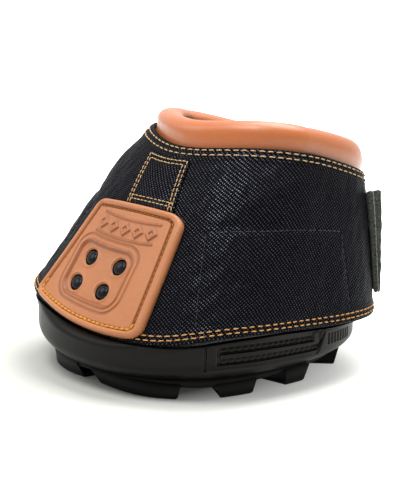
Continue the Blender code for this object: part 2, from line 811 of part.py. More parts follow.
def build_heel_flap(collection, materials):
    """Padded flap that closes the heel, in the same layers as the upper."""
    hinge = hinge_frame("heel_flap_hinge", QUARTER_ANGLE, 0, 1, HINGE_LIFT, collection)
    angles = angles_between(QUARTER_ANGLE + HEEL_SEAM_ANGLE, HEEL_FLAP_END_ANGLE)
    fabric = wrap_sheet(angles, full_shares, constant(0), constant(-FABRIC))
    add_object("heel_flap_fabric", fabric, materials["nylon"], collection, hinge)
    lining = wrap_sheet(angles, lining_shares, constant(LINING_FACE), constant(LINING_BACK))
    add_object("heel_flap_lining", lining, materials["lining"], collection, hinge)
    loop_angles = angles_between(QUARTER_ANGLE + 2 * HEEL_SEAM_ANGLE, HOOK_REAR_ANGLE)
    loop = wrap_sheet(loop_angles, tape_shares, constant(LOOP_FACE), constant(GAP))
    add_object("heel_loop_patch", loop, materials["loop"], collection, hinge)
    cover = collar_cover_body(angles)
    add_object("heel_collar_cover", cover, materials["leather"], collection, hinge)
    foam = collar_foam_body(angles)
    add_object("heel_collar_foam", foam, materials["foam"], collection, hinge)


def tab_end(share):
    """Angle of the grip tab's free end at a height."""
    climb = (share - FLAP_LOW_SHARE) / (FLAP_HIGH_SHARE - FLAP_LOW_SHARE)
    return TAB_LOW_ANGLE + (TAB_HIGH_ANGLE - TAB_LOW_ANGLE) * climb


def tab_point(along, share, offset):
    """Point of the grip tab: along is 0 at its fold and 1 at its free end."""
    angle = TAB_HINGE_ANGLE - TAB_SEAM_ANGLE
    angle += (tab_end(share) - angle) * along
    climb = (share - FLAP_LOW_SHARE) / (FLAP_HIGH_SHARE - FLAP_LOW_SHARE)
    return upper_point(angle, share, offset + TAB_LIFT * climb * max(along, 0) ** 2)


def tab_body(start, end, outer, inner):
    shares = flap_shares(TAB_HINGE_ANGLE)
    places = [start + (end - start) * index / 3 for index in range(4)]
    return sheet_body(
        [[tab_point(along, share, outer) for share in shares] for along in places],
        [[tab_point(along, share, inner) for share in shares] for along in places],
    )


def build_outer_flap(collection, materials):
    """Wide closing flap: hook tape inside, lining, cover, and a grip tab at its free end."""
    hinge = hinge_frame(
        "outer_flap_hinge",
        ROOT_ANGLE,
        FLAP_LOW_SHARE,
        FLAP_HIGH_SHARE,
        FLAP_FACE - FLAP_BACK + ROOT_CLEARANCE + HINGE_LIFT,
        collection,
    )
    angles = angles_between(TAB_HINGE_ANGLE, ROOT_ANGLE)
    fabric = wrap_sheet(angles, flap_shares, dropped(FLAP_FACE), dropped(FLAP_MIDDLE + GAP))
    add_object("outer_flap_fabric", fabric, materials["nylon"], collection, hinge)
    lining = wrap_sheet(angles, flap_shares, dropped(FLAP_MIDDLE), dropped(FLAP_BACK))
    add_object("outer_flap_lining", lining, materials["lining"], collection, hinge)
    tape_angles = angles_between(HOOK_FRONT_ANGLE, HOOK_REAR_ANGLE)
    tape = wrap_sheet(tape_angles, tape_shares, constant(HOOK_BACK + HOOK), constant(HOOK_BACK))
    add_object("hook_tape", tape, materials["hook"], collection, hinge)

    tab_hinge = hinge_frame(
        "grip_tab_hinge",
        TAB_HINGE_ANGLE,
        FLAP_LOW_SHARE,
        FLAP_HIGH_SHARE,
        FLAP_FACE + HINGE_LIFT,
        collection,
    )
    tab_hinge.parent = hinge
    tab_hinge.matrix_parent_inverse = hinge.matrix_world.inverted()
    tab_length = (tab_point(1, FLAP_LOW_SHARE, 0) - tab_point(0, FLAP_LOW_SHARE, 0)).length
    edge = 1 - BINDING_WIDTH / tab_length
    seam = GAP / tab_length
    tab = tab_body(0, edge - seam, FLAP_FACE, FLAP_BACK)
    add_object("grip_tab", tab, materials["nylon"], collection, tab_hinge)
    binding = tab_body(edge, 1, FLAP_FACE + BINDING, FLAP_BACK - BINDING)
    add_object("grip_tab_binding", binding, materials["binding"], collection, tab_hinge)


def build_anchors(collection, materials):
    """Loop panel on the right quarter and the flap's sewn root on the left one."""
    loop_angles = angles_between(LOOP_FRONT_ANGLE, QUARTER_ANGLE - HEEL_SEAM_ANGLE)
    loop = wrap_sheet(loop_angles, tape_shares, constant(LOOP_FACE), constant(GAP))
    add_object("loop_patch", loop, materials["loop"], collection)
    strip_angles = angles_between(ROOT_ANGLE + ROOT_SEAM_ANGLE, ROOT_STRIP_ANGLE)
    face = FLAP_FACE - FLAP_BACK + ROOT_CLEARANCE
    strip = wrap_sheet(strip_angles, flap_shares, constant(face), constant(GAP))
    add_object("flap_root_strip", strip, materials["nylon"], collection)


def build_collar(collection, materials):
    angles = angles_between(-QUARTER_ANGLE, QUARTER_ANGLE)
    cover = collar_cover_body(angles)
    add_object("collar_cover", cover, materials["leather"], collection)
    foam = collar_foam_body(angles)
    add_object("collar_foam", foam, materials["foam"], collection)


def clear_scene():
    for item in list(bpy.data.objects):
        bpy.data.objects.remove(item, do_unlink=True)


def make_collection(name):
    collection = bpy.data.collections.new(name)
    bpy.context.scene.collection.children.link(collection)
    return collection


def main():
    clear_scene()
    boot = make_collection("hoof_boot")
    cutters = make_collection("cutters")
    materials = {
        "rubber": make_material("shell_rubber", (0.026, 0.026, 0.025), 0.45),
        "tread": make_material("tread_rubber", (0.012, 0.012, 0.012), 0.6),
        "nylon": make_material("ballistic_nylon", (0.016, 0.016, 0.022), 0.75),
        "lining": make_material("padded_lining", (0.03, 0.03, 0.03), 0.9),
        "stiffener": make_material("stiffener_sheet", (0.05, 0.05, 0.05), 0.5),
        "leather": make_material("collar_leather", (0.60, 0.22, 0.085), 0.35),
        "foam": make_material("collar_foam", (0.5, 0.5, 0.45), 0.95),
        "patch": make_material("patch_rubber", (0.55, 0.24, 0.12), 0.5),
        "insert": make_material("vent_insert", (0.01, 0.01, 0.01), 0.12),
        "webbing": make_material("strap_webbing", (0.016, 0.016, 0.02), 0.8),
        "loop": make_material("loop_fabric", (0.02, 0.02, 0.02), 0.95),
        "hook": make_material("hook_tape", (0.02, 0.02, 0.02), 0.6),
        "binding": make_material("woven_binding", (0.10, 0.105, 0.09), 0.8),
    }
    build_tread(boot, cutters, materials["tread"])
    build_shell(boot, cutters, materials["rubber"])
    build_upper(boot, materials)
    build_collar(boot, materials)
    build_patch(boot, cutters, materials)
    build_strap(boot, materials)
    build_anchors(boot, materials)
    build_heel_flap(boot, materials)
    build_outer_flap(boot, materials)


main()
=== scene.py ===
"""Looks of the horse hoof boot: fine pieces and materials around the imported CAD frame.

Lengths are in metres. The toe points to -Y and +Z is up. An angle is measured in degrees round the boot
from the toe towards +X. A height share on the upper is 0 at its lower hem and 1 at its rim. An offset
stands out from the upper's outer face.
"""

import math

import bpy
import numpy as np
from mathutils import Matrix, Vector


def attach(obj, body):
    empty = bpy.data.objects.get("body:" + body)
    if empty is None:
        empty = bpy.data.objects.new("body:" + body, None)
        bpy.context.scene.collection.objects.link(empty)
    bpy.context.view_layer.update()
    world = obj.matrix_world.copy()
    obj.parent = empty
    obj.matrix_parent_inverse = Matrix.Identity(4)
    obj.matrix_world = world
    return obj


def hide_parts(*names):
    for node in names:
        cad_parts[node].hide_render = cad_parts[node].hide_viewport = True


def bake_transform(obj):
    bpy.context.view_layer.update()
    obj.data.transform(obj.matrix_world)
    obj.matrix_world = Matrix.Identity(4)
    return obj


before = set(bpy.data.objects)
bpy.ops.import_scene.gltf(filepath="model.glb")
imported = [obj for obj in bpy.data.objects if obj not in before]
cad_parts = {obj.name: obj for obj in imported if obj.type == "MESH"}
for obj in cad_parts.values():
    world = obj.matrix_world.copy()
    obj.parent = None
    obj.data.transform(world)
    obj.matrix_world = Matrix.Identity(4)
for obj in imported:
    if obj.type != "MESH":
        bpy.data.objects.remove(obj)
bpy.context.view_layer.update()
MM = 0.001

# The CAD's own driving dimensions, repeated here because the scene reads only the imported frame
HEM = (0.0806, 0.0693, 0.0825, 2.46, 3.33)
HEM_HEIGHTS = (0.0296, 0.0346, 0.0244)
RIM = (0.0524, 0.0401, 0.0586, 1.80, 3.20)
RIM_SHIFT = 0.0334
RIM_HEIGHTS = (0.1131, 0.1120, 0.0864)
BEND_SHARE, BEND_POWER = 0.12, 4.9
GAP = 0.0003
FABRIC, LINING, STIFFENER = 0.0020, 0.0044, 0.0008
LINING_FACE = -(FABRIC + GAP)
LINING_BACK = LINING_FACE - LINING
WALL_FACE = LINING_BACK - GAP
QUARTER_ANGLE = 147.0
SHELL = (0.0732, 0.0743, 0.0795, 2.32, 2.72)
SHELL_FOOT_Z, SHELL_FOOT_INSET = 0.0068, 0.0087
BULGE_SHARE, SHOULDER_SHARE, SHOULDER_INSET, ROUNDING_POWER = 0.50, 0.76, 0.0008, 2.3
SHELL_WALL, WALL_ROOT, WALL_TOP_SHARE = 0.0032, 0.0046, 0.24
CAVITY_Z, CAVITY_INSET, FLOOR_Z, FLOOR_INSET = 0.0175, 0.0064, 0.0140, 0.0115
PLATE_INSET, LUG_INSET, LUG_DEPTH, LUG_DRAFT = 0.0091, 0.0115, 0.0190, 0.0008
TOE_ROCKER, TOE_ROCKER_POWER = 0.0040, 12
LEG_DEPTH = 0.0070
COLLAR_HEIGHTS = (0.0133, 0.0103, 0.0150)
COLLAR_BULGES = (0.0007, 0.0012, 0.0030)
COLLAR_WAIST, COLLAR_THICKNESS, COLLAR_TUCK = 0.0040, 0.0127, 0.0020
PATCH_FACE = GAP + 2.5 * MM
VENT_RADIUS = 0.0045
VENTS = ((-0.0147, 0.339), (0.0075, 0.338), (-0.0166, 0.191), (0.0038, 0.197))
STRAP_THICKNESS, STRAP_SHARES = 0.0013, (0.660, 0.925)
STRAP_MIDDLES, STRAP_HALVES = (0.0058, -0.0005), (0.0165, 0.0148)
FLAP_SHARES, TAPE_SHARES = (0.13, 0.85), (0.16, 0.82)
ROOT_ANGLE, ROOT_STRIP_ANGLE, RAMP_ANGLE, HEEL_FLAP_END = 229.0, 240.0, 213.0, 210.5
HEEL_SEAM = 0.9
LOOP = HOOK = FLAP_LINING = 0.0006
FLAP_FABRIC = 0.0008
ROOT_CLEARANCE = 0.0004
LOOP_FACE = GAP + LOOP
HOOK_BACK = LOOP_FACE + GAP
FLAP_BACK = HOOK_BACK + HOOK + GAP
FLAP_MIDDLE = FLAP_BACK + FLAP_LINING
FLAP_FACE = FLAP_MIDDLE + GAP + FLAP_FABRIC
TAB_HINGE, TAB_SEAM, TAB_LOW, TAB_HIGH, TAB_LIFT = 141.5, 0.45, 136.5, 133.5, 0.0050
BINDING_WIDTH, BINDING = 0.0030, 0.0004

# Forms that only the scene has, read off by angle
SWAY_TURNS = (-150, -110, -70, -45, -25, -8, 5, 22, 38, 50, 62, 76, 92, 106, 125, 150)
SWAYS = MM * np.array((0, 1, 2.6, 4.0, 3.5, 1.2, 0, -1.5, -2.6, -0.5, 1.1, 0.2, -1.0, -1.6, -1.0, 0))
FOOT_TURNS, FOOT_ZS = (0, 30, 60, 85, 110, 180), (0.0098, 0.0102, 0.0108, 0.0104, 0.0097, 0.0096)
GAP_TURNS, GAP_ZS = (0, 20, 50, 62, 88, 118, 180), (0.0076, 0.0070, 0.0056, 0.0056, 0.0070, 0.0079, 0.0078)
LUG_TURNS, LUG_SPREADS = (0, 40, 90, 125, 150, 180), (0.0008, 0.0018, 0.0010, 0.0030, 0.0036, 0.0024)
LUG_ENDS = ((2.0, 46.0), (61.0, 80.0), (96.5, 110.0), (133.5, 144.5), (155.0, 167.0))


# Small shapes of curves

def smooth(value, low, high):
    """0 below low, 1 above high, smooth between them."""
    t = np.clip((value - low) / (high - low), 0, 1)
    return t * t * (3 - 2 * t)


def window(value, low, high, soft):
    return smooth(value, low - soft, low + soft) * (1 - smooth(value, high - soft, high + soft))


def bell(distance, width):
    return np.exp(-(distance / width) ** 2)


def groove(distance, width, depth):
    return -depth * bell(distance, width)


def round_off(edge, width):
    """1 at an edge and 0 from a width inside it, along a quarter circle."""
    return 1 - np.sqrt(np.clip(1 - (1 - np.clip(edge / width, 0, 1)) ** 2, 0, 1))


def bezier(first, corner, last, t):
    return (1 - t) ** 2 * first + 2 * t * (1 - t) * corner + t ** 2 * last


def ripple(a, b, seed, scale):
    """Smooth repeatable noise between about -1 and 1 over two coordinates in metres."""
    random = np.random.default_rng(seed)
    total = 0.0
    for harmonic in range(7):
        turn, phase = random.uniform(0, 2 * math.pi, 2)
        wave = scale * random.uniform(0.6, 1.9)
        total = total + np.sin(2 * math.pi * (a * math.cos(turn) + b * math.sin(turn)) / wave + phase)
    return total / 4.0


def even(start, end, step):
    return np.linspace(start, end, max(2, int(round(abs(end - start) / step)) + 1))


def unit(vectors):
    return vectors / np.linalg.norm(vectors, axis=-1, keepdims=True)


def value_at(source, *places):
    """A plain value as it is, or what a function gives there."""
    return source(*places) if callable(source) else source


# Surfaces of the boot, for arrays of angles and shares

def oval(shape, angle, inset=0.0):
    """Egg-like outline: half width, front, rear and their two powers, drawn in by an inset."""
    sine, cosine = np.sin(np.radians(angle)), np.cos(np.radians(angle))
    power = np.where(cosine > 0, shape[3], shape[4])
    reach = np.where(cosine > 0, shape[1], shape[2]) - inset
    spread = (np.abs(sine) / (shape[0] - inset)) ** power + (np.abs(cosine) / reach) ** power
    radius = spread ** (-1 / power)
    return radius * sine, -radius * cosine


def outline(flat, z):
    """Points over a flat outline, at a height or at heights."""
    x, y = flat
    return np.stack([x, y, z + 0 * x], -1)


def level(heights, angle):
    toe, side, heel = heights
    radians = np.radians(angle)
    mean = (toe + heel) / 4 + side / 2
    return mean + (toe - heel) / 2 * np.cos(radians) + (mean - side) * np.cos(2 * radians)


def smooth_table(value, places, heights, width=6.0):
    """Table read with its corners rounded off."""
    return sum(np.interp(value + shift * width, places, heights) for shift in (-1, -0.5, 0, 0.5, 1)) / 5


def hem_height(angle):
    """The hem's height, with the dips and rises that the sewn boot has."""
    return level(HEM_HEIGHTS, angle) + smooth_table(angle, SWAY_TURNS, SWAYS)


def upper_face(angle, share):
    angle, share = np.broadcast_arrays(np.asarray(angle, float), np.asarray(share, float))
    hem_x, hem_y = oval(HEM, angle)
    rim_x, rim_y = oval(RIM, angle)
    inward = (1 - BEND_SHARE) * share + BEND_SHARE * np.maximum(share, 0) ** BEND_POWER
    height = level(HEM_HEIGHTS, angle) * (1 - share) + level(RIM_HEIGHTS, angle) * share
    height = height + smooth_table(angle, SWAY_TURNS, SWAYS) * np.clip(1 - share, 0, 1) ** 4
    x = hem_x + (rim_x - hem_x) * inward
    y = hem_y + (rim_y + RIM_SHIFT - hem_y) * inward
    return np.stack([x, y, height], -1)


def slopes(angle, share):
    """Unit vectors round the boot, up its face and out from it."""
    step = 0.01
    around = upper_face(angle + step, share) - upper_face(angle - step, share)
    up = upper_face(angle, share) - upper_face(angle, share - step)
    return unit(around), unit(up), unit(np.cross(around, up))


def slant(angle):
    return np.linalg.norm(upper_face(angle, 1) - upper_face(angle, 0), axis=-1)


def upper_point(angle, share, offset=0.0):
    """Point off the upper's face. Above the rim it goes on straight."""
    angle, share, offset = np.broadcast_arrays(*(np.asarray(value, float) for value in (angle, share, offset)))
    on_face = np.minimum(share, 1)
    around, up, normal = slopes(angle, on_face)
    beyond = ((share - on_face) * slant(angle))[..., None]
    return upper_face(angle, on_face) + up * beyond + normal * offset[..., None]


ARC_ANGLES = np.linspace(-270, 270, 5401)
ARC_STEPS = np.linalg.norm(np.diff(upper_face(ARC_ANGLES, 0.0), axis=0), axis=1)
ARC_LENGTHS = np.concatenate([[0], np.cumsum(ARC_STEPS)])
ARC_LENGTHS -= np.interp(0, ARC_ANGLES, ARC_LENGTHS)
APEX = 0.27
FRONT_SLANT = float(slant(np.array([0.0]))[0])


def arc(angle):
    """Way along the lower hem from the toe."""
    return np.interp(angle, ARC_ANGLES, ARC_LENGTHS)


def cloth_place(angle, share, grain):
    """Place on the flat cloth, unrolled about its grain's angle as a cone is."""
    turn = (arc(angle) - arc(grain)) / APEX
    radius = APEX - share * slant(angle)
    return np.stack([radius * np.sin(turn) + 0.5, APEX - radius * np.cos(turn) + 0.5], -1)


def angle_at(x, share):
    """Angle on the upper's front half where it has a sideways place x."""
    x, share = np.broadcast_arrays(np.asarray(x, float), np.asarray(share, float))
    low, high = np.zeros(x.shape), np.full(x.shape, 90.0)
    for halving in range(34):
        middle = (low + high) / 2
        short = upper_face(middle, share)[..., 0] < np.abs(x)
        low, high = np.where(short, middle, low), np.where(short, high, middle)
    return np.copysign(low, x)


# Meshes

def make_piece(name, points, faces, material, uv=None, **attributes):
    """Mesh object. uv holds one pair for each corner of each face."""
    mesh = bpy.data.meshes.new(name)
    mesh.from_pydata(np.asarray(points).tolist(), [], [list(map(int, face)) for face in faces])
    if uv is not None:
        mesh.uv_layers.new(name="Cloth").data.foreach_set("uv", np.asarray(uv, np.float32).ravel())
    for label, values in attributes.items():
        attribute = mesh.attributes.new(label, "FLOAT", "POINT")
        attribute.data.foreach_set("value", np.asarray(values, np.float32).ravel())
    mesh.shade_smooth()
    mesh.materials.append(material)
    piece = bpy.data.objects.new(name, mesh)
    bpy.context.scene.collection.objects.link(piece)
    return piece


def settle(piece, body, slot, *nodes):
    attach(piece, body)
    if nodes:
        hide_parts(*nodes)


def tube_piece(name, material, points, left, right):
    """Loft through closed sections, with bridged ends. left and right are the cloth's places at both sides
    of its faces, and run one place further than a section so that no face is torn."""
    columns, ring = points.shape[:2]
    near, k = ring * np.arange(columns - 1)[:, None], np.arange(ring)
    following = (k + 1) % ring
    quads = np.stack([near + k, near + ring + k, near + ring + following, near + following], -1)
    corners = np.stack([left[:, :-1], right[:, :-1], right[:, 1:], left[:, 1:]], 2)
    index = np.arange(ring // 2 - 1)
    cap = np.stack([index, index + 1, ring - 2 - index, ring - 1 - index], -1)
    faces = np.concatenate([quads.reshape(-1, 4), cap, cap[:, ::-1] + (columns - 1) * ring])
    uv = np.concatenate([corners.reshape(-1, 4, 2), left[0][cap], right[-1][cap[:, ::-1]]])
    return make_piece(name, points.reshape(-1, 3), faces, material, uv)


def ring_faces(count, ring, base=0, turned=False):
    """Faces between closed rings and over both ends. turned winds those between the rings the other way."""
    near, k = base + ring * np.arange(count - 1)[:, None], np.arange(ring)
    following = (k + 1) % ring
    quads = np.stack([near + k, near + following, near + ring + following, near + ring + k], -1).reshape(-1, 4)
    if turned:
        quads = quads[:, [0, 3, 2, 1]]
    return quads.tolist() + [base + k[::-1], base + (count - 1) * ring + k]


def sheet_piece(name, material, x, share, outer, inner, solid=None, **attributes):
    """Sheet over the toe between two offset grids. solid, if given, says which cells are there."""
    angle = angle_at(x, share)
    points = np.concatenate([upper_point(angle, share, offset).reshape(-1, 3) for offset in (outer, inner)])
    index = np.arange(x.size).reshape(x.shape)
    cells = np.stack([index[:-1, :-1], index[1:, :-1], index[1:, 1:], index[:-1, 1:]], -1)
    top = cells.reshape(-1, 4) if solid is None else cells[solid]
    first, second = top.ravel(), np.roll(top, -1, 1).ravel()
    border = ~np.isin(first * x.size + second, second * x.size + first)
    first, second = first[border], second[border]
    walls = np.stack([second, first, first + x.size, second + x.size], -1)
    faces = np.concatenate([top, top[:, ::-1] + x.size, walls])
    used, corners = np.unique(faces.ravel(), return_inverse=True)
    uv = None
    if solid is None:
        flat = np.stack([x + 0.5, share * FRONT_SLANT + 0.5], -1).reshape(-1, 2)
        uv = np.concatenate([flat, flat])[faces.ravel()]
    attributes = {label: values[used] for label, values in attributes.items()}
    return make_piece(name, points[used], corners.reshape(-1, 4), material, uv, **attributes)


MEAN_RADIUS = 0.07


def wrap_piece(name, material, home, angles, rows, outer, inner, span=(0, 1), grain=184.0):
    """Sheet that follows the upper, with rounded edges and ends.

    rows are shares of the way over the span. outer and inner give offsets. grain is the angle along which
    the cloth's threads run on the boot's right side.
    """
    start, end = angles[0], angles[-1]
    thick = np.ravel(value_at(outer, angles[:1], 0.5) - value_at(inner, angles[:1], 0.5))[0]
    reach = abs(math.degrees(thick / 2 / MEAN_RADIUS))
    turns = np.radians([35, 65])
    inside = angles[(angles - start > 1.2 * reach) & (end - angles > 1.2 * reach)]
    near, far = start + reach * (1 - np.cos(turns)), end - reach * (1 - np.cos(turns[::-1]))
    angle = np.concatenate([[start], near, inside, far, [end]])[:, None]
    full = np.concatenate([[0.25], np.sin(turns), np.ones(len(inside)), np.sin(turns[::-1]), [0.25]])
    low, high = (value_at(limit, angle) for limit in span)
    share = low + (high - low) * rows + 0 * angle
    top, bottom = (value_at(face, angle, share) + 0 * share for face in (outer, inner))
    middle, half = (top + bottom) / 2, (top - bottom) / 2 * full[:, None]
    length = slant(angle)
    swing = np.radians([60, 30, 0, -30, -60])

    def edge(column, direction):
        """Half circle that closes the section over one of its two long edges."""
        radius = half[:, [column]]
        rise = radius * (np.cos(swing) - 1) / length
        return share[:, [column]] + direction * rise, middle[:, [column]] + radius * np.sin(direction * swing)

    # The straight part stops a half thickness short of the edges, so that the sheet keeps its size
    inset = half / length
    low_end, high_end = share[:, :1] + inset[:, :1], share[:, -1:] - inset[:, -1:]
    share_in = low_end + (share - share[:, :1]) / (share[:, -1:] - share[:, :1]) * (high_end - low_end)
    (top_share, top_out), (low_share, low_out) = edge(-1, 1), edge(0, -1)
    ring_share = np.concatenate([share_in, top_share, share_in[:, ::-1], low_share], 1)
    ring_out = np.concatenate([middle + half, top_out, (middle - half)[:, ::-1], low_out], 1)
    # The ring starts in the middle of the low edge, so that opposite points face each other
    ring_share, ring_out = (np.roll(ring, len(swing) // 2, 1) for ring in (ring_share, ring_out))
    uv_share = np.concatenate([ring_share, ring_share[:, :1]], 1)
    centre = np.where(angle[:-1] < -1e-6, -grain, grain)
    left, right = (cloth_place(angle[part], uv_share[part], centre) for part in (slice(0, -1), slice(1, None)))
    piece = tube_piece(name, material, upper_point(angle, ring_share, ring_out), left, right)
    settle(piece, *home)


# Thread

SIDES, CUTS = 10, 9
STITCH_LIFT = 0.15 * MM


def row_stitches(path, normals, thread, pitch, stitch, random):
    """Capsules of two-ply thread along a row: their points, half length and shades."""
    t = np.linspace(-1, 1, CUTS)
    steps = np.concatenate([[0], np.cumsum(np.linalg.norm(np.diff(path, axis=0), axis=1))])
    count = max(1, int(round(steps[-1] / pitch)))
    real_pitch = steps[-1] / count
    reach = stitch * real_pitch / pitch / 2
    jitter = random.normal(0, 0.03 * pitch, count)
    tilt = random.normal(0, 0.05, count)
    places = ((np.arange(count) + 0.5) * real_pitch + jitter)[:, None] + reach * t

    def read(table, at):
        return np.stack([np.interp(at, steps, column) for column in table.T], -1)

    tangents = unit(read(path, places + 2e-4) - read(path, places - 2e-4) + 1e-12)
    out = unit(read(normals, places))
    side = unit(np.cross(tangents, out))
    height = STITCH_LIFT + thread * (0.55 * (1 - np.abs(t) ** 2.4) - 1.25 * np.abs(t) ** 6)
    centre = read(path, places) + out * height[:, None] + side * (tilt[:, None] * t * reach)[..., None]
    turn = np.linspace(0, 2 * math.pi, SIDES, endpoint=False)
    twist = turn - (t * reach / thread * 0.8)[:, None]
    profile = np.maximum(np.sqrt(np.clip(1 - np.abs(t) ** 3.2, 0, 1)), 0.22)
    radius = thread * (0.90 + 0.13 * np.abs(np.cos(twist))) * profile[:, None]
    ring = (centre[:, :, None] + side[:, :, None] * (radius * np.cos(turn))[..., None]
            + out[:, :, None] * (0.86 * radius * np.sin(turn))[..., None])
    return ring, reach, random.uniform(0, 1, count)


def thread_piece(name, material, rows, body, slot, pitch, stitch, thread, seed):
    """Stitches along rows of (path, normals). Pitch, stitch length and radius are in millimetres."""
    random = np.random.default_rng(seed)
    sizes = (thread * MM, pitch * MM, stitch * MM)
    blocks, reaches, shades = zip(*[row_stitches(*row, *sizes, random) for row in rows])
    counts = [len(block) for block in blocks]
    start = CUTS * SIDES * np.arange(sum(counts))[:, None]
    cut, k = SIDES * np.arange(CUTS - 1)[:, None], np.arange(SIDES)
    following = (k + 1) % SIDES
    quad = np.stack([cut + k, cut + SIDES + k, cut + SIDES + following, cut + following], -1).reshape(-1, 4)
    quads = (start[:, :, None] + quad).reshape(-1, 4)
    caps = np.stack([start + k[::-1], start + (CUTS - 1) * SIDES + k], 1).reshape(-1, SIDES)
    t = np.linspace(-1, 1, CUTS)
    near, far = t[:-1, None] + 0 * k, t[1:, None] + 0 * k
    lengthwise = np.stack([near, far, far, near], -1)
    crosswise = np.stack([k, k, k + 1, k + 1], -1) / SIDES + 0 * lengthwise
    pattern = np.stack([lengthwise, crosswise], -1).reshape(-1, 2)
    scale = np.stack([np.repeat(reaches, counts), np.ones(sum(counts))], -1)
    uv = np.concatenate([(pattern * scale[:, None]).reshape(-1, 2), np.zeros((caps.size, 2))])
    shade = np.repeat(np.concatenate(shades), CUTS * SIDES)
    points = np.concatenate(blocks).reshape(-1, 3)
    piece = make_piece(name, points, quads.tolist() + caps.tolist(), material, uv, shade=shade)
    settle(piece, body, slot)


def level_row(start, end, share, offset):
    """Row of stitches round the boot. share and offset may be functions of the angle."""
    angle = even(start, end, 0.5)
    height = value_at(share, angle) + 0 * angle
    return upper_point(angle, height, value_at(offset, angle)), slopes(angle, np.minimum(height, 1))[2]


def rise_row(angle, low, high, offset):
    """Row of stitches up the boot at an angle. angle may be a function of the share."""
    share = np.linspace(low, high, 60)
    turn = value_at(angle, share) + 0 * share
    return upper_point(turn, share, offset), slopes(turn, share)[2]


def front_row(xs, shares, offset):
    """Row of stitches over the toe, straight between sideways places and shares."""
    x, share = (np.concatenate([np.linspace(a, b, 60) for a, b in zip(ends[:-1], ends[1:])])
                for ends in (xs, shares))
    angle = angle_at(x, share)
    return upper_point(angle, share, offset), slopes(angle, share)[2]


# Materials

PLAIN_INPUTS = {"coat": "Coat Weight", "coat_rough": "Coat Roughness", "sheen": "Sheen Weight",
                "sheen_rough": "Sheen Roughness", "level": "Specular IOR Level"}


class Look:
    """Shader tree of a material or world, with short names for its usual nodes."""

    def __init__(self, owner):
        owner.use_nodes = True
        self.owner, self.tree = owner, owner.node_tree
        self.shader = self.tree.nodes.get("Principled BSDF")

    def put(self, kind, links=None, **settings):
        """Adds a node. links gives its inputs by name or number, as sockets or plain values."""
        node = self.tree.nodes.new(kind)
        for key, value in settings.items():
            setattr(node, key, value)
        for key, value in (links or {}).items():
            if isinstance(value, bpy.types.NodeSocket):
                self.tree.links.new(value, node.inputs[key])
            else:
                node.inputs[key].default_value = value
        return node

    def calc(self, operation, *values):
        return self.put("ShaderNodeMath", dict(enumerate(values)), operation=operation).outputs[0]

    def times(self, product, *factors):
        for factor in factors:
            product = self.calc("MULTIPLY", product, factor)
        return product

    def plus(self, total, *terms):
        for term in terms:
            total = self.calc("ADD", total, term)
        return total

    def wave(self, value):
        return self.calc("ABSOLUTE", self.calc("SINE", self.times(value, math.pi)))

    def vector(self, operation, links):
        return self.put("ShaderNodeVectorMath", links, operation=operation).outputs[0]

    def spot(self):
        return self.put("ShaderNodeTexCoord").outputs["Object"]

    def cloth(self):
        return self.put("ShaderNodeUVMap", uv_map="Cloth").outputs[0]

    def parts(self, vector):
        return self.put("ShaderNodeSeparateXYZ", {0: vector}).outputs

    def pointy_edges(self, high, low_edge, high_edge):
        edge = self.put("ShaderNodeNewGeometry").outputs["Pointiness"]
        return self.ramp(edge, 0.0, high, low_edge, high_edge)

    def attribute(self, name):
        return self.put("ShaderNodeAttribute", attribute_name=name).outputs["Fac"]

    def ramp(self, value, low, high, from_low, from_high):
        links = {"Value": value, "From Min": from_low, "From Max": from_high, "To Min": low, "To Max": high}
        return self.put("ShaderNodeMapRange", links, clamp=True).outputs[0]

    def noise(self, scale, detail=3.0, rough=0.55, vector=None):
        vector = self.spot() if vector is None else vector
        links = {"Vector": vector, "Scale": scale, "Detail": detail, "Roughness": rough}
        return self.put("ShaderNodeTexNoise", links).outputs["Fac"]

    def cells(self, feature, **links):
        links = {"Vector": self.spot(), **links}
        return self.put("ShaderNodeTexVoronoi", links, feature=feature).outputs["Distance"]

    def mixed(self, factor, first, second):
        colours = (value if isinstance(value, bpy.types.NodeSocket) else (*value, 1) for value in (first, second))
        links = dict(zip((0, 6, 7), (factor, *colours)))
        node = self.put("ShaderNodeMix", data_type="RGBA", blend_type="MIX")
        for index, value in links.items():
            if isinstance(value, bpy.types.NodeSocket):
                self.tree.links.new(value, node.inputs[index])
            else:
                node.inputs[index].default_value = value
        return node.outputs[2]

    def surface(self, colour, rough, height, relief, strength=1.0, **plain):
        """Links the colour, roughness and bump, and sets the shader's plain inputs."""
        links = {"Height": height, "Distance": relief, "Strength": strength}
        normal = self.put("ShaderNodeBump", links).outputs["Normal"]
        for label, socket in (("Base Color", colour), ("Roughness", rough), ("Normal", normal)):
            self.tree.links.new(socket, self.shader.inputs[label])
        for label, value in plain.items():
            self.shader.inputs[PLAIN_INPUTS[label]].default_value = value
        return self.owner


def new_look(name):
    return Look(bpy.data.materials.new(name))


WEAVE_CELL = 1.0 * MM
YARN_DARK, YARN_LIGHT = (0.0012, 0.0011, 0.0012), (0.070, 0.073, 0.098)


